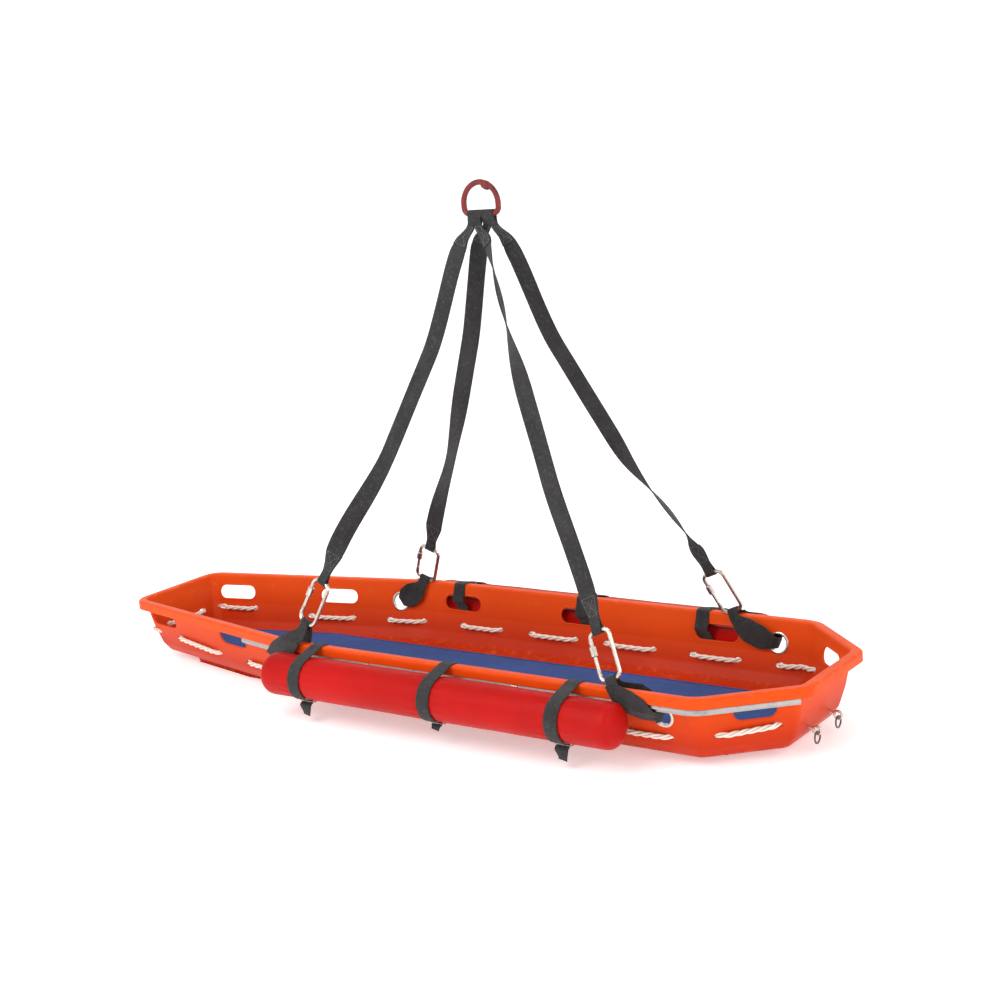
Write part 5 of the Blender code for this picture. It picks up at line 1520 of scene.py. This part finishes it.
def build_sling_legs(corners):
    webbing = FINISHES.get("woven_webbing")
    columns = 10
    for corner in corners:
        course = leg_course(corner)
        lengths = path_lengths(course)

        def place(station, share, corner=corner, course=course):
            along, out = course[station]
            width = corner.leg_width(along)
            curl = 0.0011 * ripple((along * 9, share * 1.5, corner.place * 5), 1.0)
            curl *= smooth((along - 0.11) / 0.06) * smooth((corner.leg_length - along - 0.11) / 0.06)
            return corner.leg_point(along, out + curl, (share - 0.5) * width)

        shape = bent_grid(lengths, columns, place, LEG_WIDTH)
        piece = add_piece("leg_webbing_" + corner.name, mesh_of(shape, "leg_webbing"), webbing,
                          BODY, ("sling_leg_" + corner.name,))
        thicken_strap(piece, LEG_PLY)
        sew_leg(corner)


def sew_leg(corner):
    shape = bmesh.new()
    length = corner.leg_length
    rows = box_stitch_rows(LEG_NECK + 0.006, LEG_SEWN_LENGTH - 0.004, 0.12)
    rows += [((length - first, share_a), (length - last, share_b))
             for (first, share_a), (last, share_b) in rows]
    for face in (1.0, -1.0):
        def place(along, across, face=face):
            out = face * (LEG_PLY + 0.0001)
            point = corner.leg_point(along, out, across)
            return point, point - corner.leg_point(along, 0.0, across)
        sew_rows(shape, rows, place, corner.leg_width)
    add_piece("leg_stitching_" + corner.name, mesh_of(shape, "leg_stitching"),
              FINISHES.get("sewing_thread"), BODY)


# Mattress

def mattress_blank():
    """The CAD solid's mesh, merged and drawn in a little, ready to swell."""
    shape = bmesh.new()
    shape.from_mesh(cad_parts["mattress"].data)
    bmesh.ops.remove_doubles(shape, verts=shape.verts, dist=0.0001)
    low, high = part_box("mattress")
    middle = (low + high) / 2
    draw_in = sizes().mattress_swell * 0.5
    for vertex in shape.verts:
        for axis in range(3):
            reach = (high[axis] - low[axis]) / 2
            vertex.co[axis] = middle[axis] + (vertex.co[axis] - middle[axis]) * (
                1 - draw_in / reach)
    bmesh.ops.recalc_face_normals(shape, faces=shape.faces)
    return mesh_of(shape, "mattress_cover")


def swell(piece, most):
    """Blows the cover up a little as cloth and keeps each point near where it was."""
    scene = bpy.context.scene
    before = [vertex.co.copy() for vertex in piece.data.vertices]
    cloth = piece.modifiers.new("swell", "CLOTH")
    cloth.settings.quality = 4
    cloth.settings.mass = 0.2
    cloth.settings.tension_stiffness = 18.0
    cloth.settings.compression_stiffness = 18.0
    cloth.settings.bending_stiffness = 0.4
    cloth.settings.use_pressure = True
    cloth.settings.uniform_pressure_force = 4.0
    cloth.settings.effector_weights.gravity = 0.0
    cloth.collision_settings.use_collision = False
    cloth.point_cache.frame_start = 1
    cloth.point_cache.frame_end = 20
    for number in range(1, 21):
        scene.frame_set(number)
    swollen = apply_modifiers(piece)
    after = [vertex.co.copy() for vertex in swollen.vertices]
    bpy.data.meshes.remove(swollen)
    piece.modifiers.clear()
    scene.frame_set(1)
    for vertex, old, new in zip(piece.data.vertices, before, after):
        step = new - old
        if step.length > most:
            step = step.normalized() * most
        vertex.co = old + step


def build_mattress():
    piece = add_piece("mattress_pad", mattress_blank(), FINISHES.get("mattress_cover"),
                      "mattress", ("mattress",), 180.0)
    remesh = piece.modifiers.new("even_mesh", "REMESH")
    remesh.mode = "VOXEL"
    remesh.voxel_size = sizes().mattress_voxel
    mesh = apply_modifiers(piece)
    piece.modifiers.clear()
    piece.data = mesh
    swell(piece, sizes().mattress_swell)
    low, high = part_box("mattress")
    shape = bmesh.new()
    shape.from_mesh(piece.data)
    bmesh.ops.smooth_vert(shape, verts=shape.verts, factor=0.5, use_axis_x=True, use_axis_y=True,
                          use_axis_z=True)
    for vertex in shape.verts:
        x, y, z = vertex.co
        if z > (low.z + high.z) / 2:
            z += 0.0016 * ripple((x, y, 0.0), 0.11, 2.0) + 0.0008 * ripple((x, y, 0.0), 0.035, 5.0)
        vertex.co.z = max(low.z + 0.0002, z)
    shape.to_mesh(piece.data)
    shape.free()
    piece.data.shade_smooth()
    finer = piece.modifiers.new("finer", "SUBSURF")
    finer.levels = 1
    finer.render_levels = 1
    build_mattress_piping(high.z)


def build_mattress_piping(top):
    """A corded seam round the mattress, just under the edge of its top."""
    half = [(x + inward * PIPING_INSET, y - PIPING_INSET) for x, y, inward in MATTRESS_PLAN]
    outline = half + [(x, -y) for x, y in reversed(half)]
    corners = len(outline)
    radii = [PIPING_CORNER_RADIUS] * (corners + 1)
    closed = rounded([outline[-1]] + outline + outline[:2], radii, PIPING_CORNER_STEPS)[1:-1]
    steps = PIPING_CORNER_STEPS + 1
    points = [Vector((x, y, top - PIPING_DROP)) for x, y in closed[steps:(corners + 1) * steps]]
    seen = []
    for point in cut_finer(points, 0.02):
        if not seen or (point - seen[-1]).length > 0.0005:
            seen.append(point)
    if (seen[0] - seen[-1]).length < 0.0005:
        seen.pop()
    add_piece("mattress_piping", mesh_of(tube_shape(seen, PIPING_RADIUS, 8), "mattress_piping"),
              FINISHES.get("mattress_cover"), "mattress")


# Fittings

def build_grommets(corners):
    """Spun eyelets with rounded flanges."""
    face = WALL / 2 + FIT_GAP
    flange = face + GROMMET_THICKNESS
    barrel = EYELET_RADIUS - FIT_GAP
    front = [(GROMMET_BORE, face * 0.5), (GROMMET_BORE + 0.0003, flange - 0.0005),
             (GROMMET_BORE + 0.0010, flange), (0.0250, flange + 0.0003),
             (GROMMET_FLANGE_RADIUS - 0.0008, flange), (GROMMET_FLANGE_RADIUS, face + 0.0006),
             (GROMMET_FLANGE_RADIUS - 0.0002, face), (barrel, face)]
    profile = front + [(radius, -height) for radius, height in reversed(front)]
    for corner in corners:
        shape = spun_shape(profile, 48, closed=True)
        place = wall_matrix(corner.place, corner.side_sign, EYELET_HEIGHT, True)
        bmesh.ops.transform(shape, matrix=place, verts=shape.verts)
        bmesh.ops.recalc_face_normals(shape, faces=shape.faces)
        add_piece("eyelet_ring_" + corner.name, mesh_of(shape, "eyelet_ring"),
                  FINISHES.get("plated_steel"), BODY,
                  ("grommet_" + corner.name,))


def build_sleeves(corners):
    """Knurled locking sleeves on the gates."""
    half = SLEEVE_LENGTH / 2
    rows = 22
    outside = [(SLEEVE_RADIUS, half - 0.001 - (SLEEVE_LENGTH - 0.002) * row / rows)
               for row in range(rows + 1)]
    profile = [(SLEEVE_BORE, half), (SLEEVE_RADIUS - 0.001, half)] + outside
    profile += [(SLEEVE_RADIUS - 0.001, -half), (SLEEVE_BORE, -half)]
    depth = sizes().knurl_depth
    middle_height = NOSE_HEIGHT - SLEEVE_TOP_GAP - half
    for corner in corners:
        shape = spun_shape(profile, 48, closed=True)
        for vertex in shape.verts:
            x, y, z = vertex.co
            radius = sqrt(x * x + y * y)
            if radius < SLEEVE_RADIUS - 0.0005 or abs(z) > half - 0.003:
                continue
            angle = atan2(y, x)
            diamonds = abs(sin(angle * 12 + z * 1500)) * abs(sin(angle * 12 - z * 1500))
            grown = 1 - depth * (1 - diamonds) / radius
            vertex.co = (x * grown, y * grown, z)
        place = corner.carabiner_matrix() @ Matrix.Translation(
            (-CARABINER_WIDTH / 2, 0.0, middle_height))
        bmesh.ops.transform(shape, matrix=place, verts=shape.verts)
        bmesh.ops.recalc_face_normals(shape, faces=shape.faces)
        add_piece("knurled_sleeve_" + corner.name, mesh_of(shape, "knurled_sleeve"),
                  FINISHES.get("plated_steel"), "sleeve_" + corner.name,
                  ("carabiner_sleeve_" + corner.name,))


def build_ring():
    """The forged master ring, with its swollen joint beside the top."""
    flat = []
    for x_sign, start in ((-1, 180), (1, 270)):
        flat += arc((x_sign * (RING_HALF_WIDTH - RING_CORNER), RING_CORNER), RING_CORNER, start,
                    start + 90, 8)
    flat += arc((0.0, RING_HEIGHT - RING_HALF_WIDTH), RING_HALF_WIDTH, 0, 180, 48)
    line = cut_finer(flat + flat[:1], 0.005)[:-1]
    points = []
    for point in line:
        if not points or (point - points[-1]).length > 0.0003:
            points.append(point)
    joint = Vector((RING_JOINT_PLACE, RING_HEIGHT - 0.004))

    def swollen(station):
        return exp(-((points[station] - joint).length / 0.011) ** 4)

    def radius(station):
        forged = 0.0003 * ripple((points[station].x, points[station].y, 0.0), 0.012, 1.0)
        return RING_BAR_RADIUS + forged + RING_JOINT_SWELL * swollen(station)

    middle = Vector((0.0, RING_HEIGHT - RING_HALF_WIDTH))
    points = [point + (middle - point).normalized() * RING_JOINT_SWELL * 0.9 * swollen(station)
              for station, point in enumerate(points)]

    place = Vector((RING_PLACE, 0.0, RING_BAR_HEIGHT))
    world = [place + Vector((point.x, 0.0, point.y)) for point in points]
    shape = tube_shape(world, radius, 20, True, Vector((0.0, 1.0, 0.0)))
    add_piece("forged_ring", mesh_of(shape, "forged_ring"), FINISHES.get("chipped_ring_paint"),
              "ring", ("master_ring",), 60.0)


def finish_fittings():
    """Gives each CAD fitting that stays its own metal."""
    metals = {"rim_rail": "brushed_aluminium", "rail_clip_": "plated_steel",
              "strap_buckle_": "plated_steel", "carabiner_body_": "plated_steel",
              "carabiner_gate_": "plated_steel", "carabiner_pin_": "plated_steel",
              "eye_bolt_": "plated_steel", "bolt_nut_": "plated_steel",
              "tow_ring_": "darkened_steel"}
    for start, finish in metals.items():
        matching = [node for name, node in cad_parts.items() if name.startswith(start)]
        if not matching:
            raise RuntimeError("the frame has no node that starts with " + start)
        for node in matching:
            node.data.materials.clear()
            node.data.materials.append(FINISHES.get(finish))


# Stage

CAMERA_PLACE = (2.7227, -3.3857, 1.445)
CAMERA_YAW = 0.6464
CAMERA_PITCH = 0.2142
CAMERA_ROLL = -0.0885
CAMERA_LENS = 61.5
STAGE_RADIUS = 9.0
STAGE_WALL = 5.0
STAGE_BEND = 3.0


def build_camera():
    forward = Vector((-sin(CAMERA_YAW) * cos(CAMERA_PITCH), cos(CAMERA_YAW) * cos(CAMERA_PITCH),
                      -sin(CAMERA_PITCH)))
    right = forward.cross(UP).normalized()
    top = right.cross(forward)
    turned_right = right * cos(CAMERA_ROLL) + top * sin(CAMERA_ROLL)
    turned_top = top * cos(CAMERA_ROLL) - right * sin(CAMERA_ROLL)
    data = bpy.data.cameras.new("photo_camera")
    data.lens = CAMERA_LENS
    data.sensor_width = 36.0
    data.clip_start = 0.05
    data.clip_end = 60.0
    camera = bpy.data.objects.new("photo_camera", data)
    bpy.context.scene.collection.objects.link(camera)
    camera.matrix_world = frame_matrix(turned_right, turned_top, -forward, CAMERA_PLACE)
    bpy.context.scene.camera = camera


def build_floor():
    """A wide round floor that curves up into a low wall on all sides."""
    profile = [(0.0, 0.0), (STAGE_RADIUS - STAGE_BEND, 0.0)]
    profile += arc((STAGE_RADIUS - STAGE_BEND, STAGE_BEND), STAGE_BEND, -90, 0, 16)[1:]
    profile.append((STAGE_RADIUS, STAGE_WALL))
    shape = spun_shape(profile, 96)
    mesh = mesh_of(shape, "studio_floor")
    mesh.shade_smooth()
    made, wiring, shader = start_material("studio_paper", {
        "Specular IOR Level": 0.1, "Emission Color": (1.0, 1.0, 1.0, 1.0),
        "Emission Strength": stage_settings().floor_glow})
    place = wiring.place()
    tone = wiring.noise(place, 3.0, 3.0, 0.5)
    pale = colour(stage_settings().floor)
    deep = tuple(channel * 0.985 for channel in stage_settings().floor)
    wiring.fill(shader, {"Base Color": wiring.blend(tone, pale, colour(deep)),
                         "Roughness": wiring.span(tone, 0.2, 0.8, 0.85, 0.95),
                         "Normal": wiring.bump(wiring.noise(place, 300.0), 0.0002, 0.2)})
    mesh.materials.append(made)
    floor_sheet = bpy.data.objects.new("studio_floor", mesh)
    bpy.context.scene.collection.objects.link(floor_sheet)


def add_soft_light(name, place, target, size, power):
    data = bpy.data.lights.new(name, "AREA")
    data.shape = "SQUARE"
    data.size = size
    data.energy = power
    light = bpy.data.objects.new(name, data)
    bpy.context.scene.collection.objects.link(light)
    back = (Vector(place) - Vector(target)).normalized()
    light.rotation_mode = "QUATERNION"
    light.rotation_quaternion = back.to_track_quat("Z", "Y")
    light.location = place


def build_lights():
    settings = stage_settings()
    middle = (0.1, 0.0, 0.2)
    add_soft_light("key_softbox", (-0.8, -3.2, 3.8), middle, 3.0, settings.key_power)
    add_soft_light("fill_softbox", (4.0, -0.6, 2.2), middle, 2.5, settings.fill_power)
    add_soft_light("top_softbox", (0.3, 1.8, 3.6), middle, 3.0, settings.fill_power)
    world = bpy.data.worlds.new("studio_air")
    world.use_nodes = True
    background = world.node_tree.nodes["Background"]
    background.inputs["Color"].default_value = (1.0, 1.0, 1.0, 1.0)
    background.inputs["Strength"].default_value = settings.sky
    bpy.context.scene.world = world
    bpy.context.scene.view_settings.view_transform = "Standard"


# Operators, one for each group of pieces

class BuildStage(bpy.types.Operator):
    """Camera, soft lights and pale floor"""
    bl_idname = "stretcher.build_stage"
    bl_label = "Stage"

    def execute(self, context):
        build_camera()
        build_floor()
        build_lights()
        return {"FINISHED"}


class BuildHull(bpy.types.Operator):
    """Moulded hull with its holes, skids and rolled hand hole edges"""
    bl_idname = "stretcher.build_hull"
    bl_label = "Hull"

    def execute(self, context):
        build_hull()
        return {"FINISHED"}


class BuildRope(bpy.types.Operator):
    """Laid rope laced through the wall"""
    bl_idname = "stretcher.build_rope"
    bl_label = "Lacing rope"

    def execute(self, context):
        build_rope()
        return {"FINISHED"}


class BuildFloats(bpy.types.Operator):
    """Side floats"""
    bl_idname = "stretcher.build_floats"
    bl_label = "Floats"

    def execute(self, context):
        build_floats()
        return {"FINISHED"}


class BuildFloatStraps(bpy.types.Operator):
    """Webbing straps round the floats"""
    bl_idname = "stretcher.build_float_straps"
    bl_label = "Float straps"

    def execute(self, context):
        build_float_straps()
        return {"FINISHED"}


class BuildLiftingPads(bpy.types.Operator):
    """Wide webbing loops in the lifting eyelets"""
    bl_idname = "stretcher.build_lifting_pads"
    bl_label = "Lifting pads"

    def execute(self, context):
        build_lifting_pads(all_corners())
        return {"FINISHED"}


class BuildSlingLegs(bpy.types.Operator):
    """The bridle's four sewn webbing legs"""
    bl_idname = "stretcher.build_sling_legs"
    bl_label = "Sling legs"

    def execute(self, context):
        build_sling_legs(all_corners())
        return {"FINISHED"}


class BuildMattress(bpy.types.Operator):
    """Mattress pad and its corded seam"""
    bl_idname = "stretcher.build_mattress"
    bl_label = "Mattress"

    def execute(self, context):
        build_mattress()
        return {"FINISHED"}


class BuildFittings(bpy.types.Operator):
    """Eyelet rings, knurled sleeves and the metal of the other fittings"""
    bl_idname = "stretcher.build_fittings"
    bl_label = "Fittings"

    def execute(self, context):
        corners = all_corners()
        build_grommets(corners)
        build_sleeves(corners)
        finish_fittings()
        return {"FINISHED"}


class BuildRing(bpy.types.Operator):
    """Painted master ring"""
    bl_idname = "stretcher.build_ring"
    bl_label = "Master ring"

    def execute(self, context):
        build_ring()
        return {"FINISHED"}


STEPS = (BuildStage, BuildHull, BuildRope, BuildFloats, BuildFloatStraps, BuildLiftingPads,
         BuildSlingLegs, BuildMattress, BuildFittings, BuildRing)


class StretcherPanel(bpy.types.Panel):
    """Lists the building steps"""
    bl_idname = "VIEW3D_PT_stretcher"
    bl_label = "Basket stretcher"
    bl_space_type = "VIEW_3D"
    bl_region_type = "UI"
    bl_category = "Stretcher"

    def draw(self, context):
        for step in STEPS:
            self.layout.operator(step.bl_idname)
        scene = context.scene
        for group in (scene.stretcher_colours, scene.stretcher_sizes, scene.stretcher_stage):
            box = self.layout.box()
            for name in group.__annotations__:
                box.prop(group, name)


CLASSES = (StretcherColours, StretcherSizes, StretcherStage) + STEPS + (StretcherPanel,)


def all_corners():
    return [Corner(*corner) for corner in CORNERS]


def register():
    for item in CLASSES:
        bpy.utils.register_class(item)
    bpy.types.Scene.stretcher_colours = bpy.props.PointerProperty(type=StretcherColours)
    bpy.types.Scene.stretcher_sizes = bpy.props.PointerProperty(type=StretcherSizes)
    bpy.types.Scene.stretcher_stage = bpy.props.PointerProperty(type=StretcherStage)


def unregister():
    del bpy.types.Scene.stretcher_stage
    del bpy.types.Scene.stretcher_sizes
    del bpy.types.Scene.stretcher_colours
    for item in reversed(CLASSES):
        bpy.utils.unregister_class(item)


def main():
    register()
    bpy.ops.stretcher.build_stage()
    bpy.ops.stretcher.build_hull()
    bpy.ops.stretcher.build_rope()
    bpy.ops.stretcher.build_floats()
    bpy.ops.stretcher.build_float_straps()
    bpy.ops.stretcher.build_lifting_pads()
    bpy.ops.stretcher.build_sling_legs()
    bpy.ops.stretcher.build_mattress()
    bpy.ops.stretcher.build_fittings()
    bpy.ops.stretcher.build_ring()


if __name__ == "__main__":
    main()
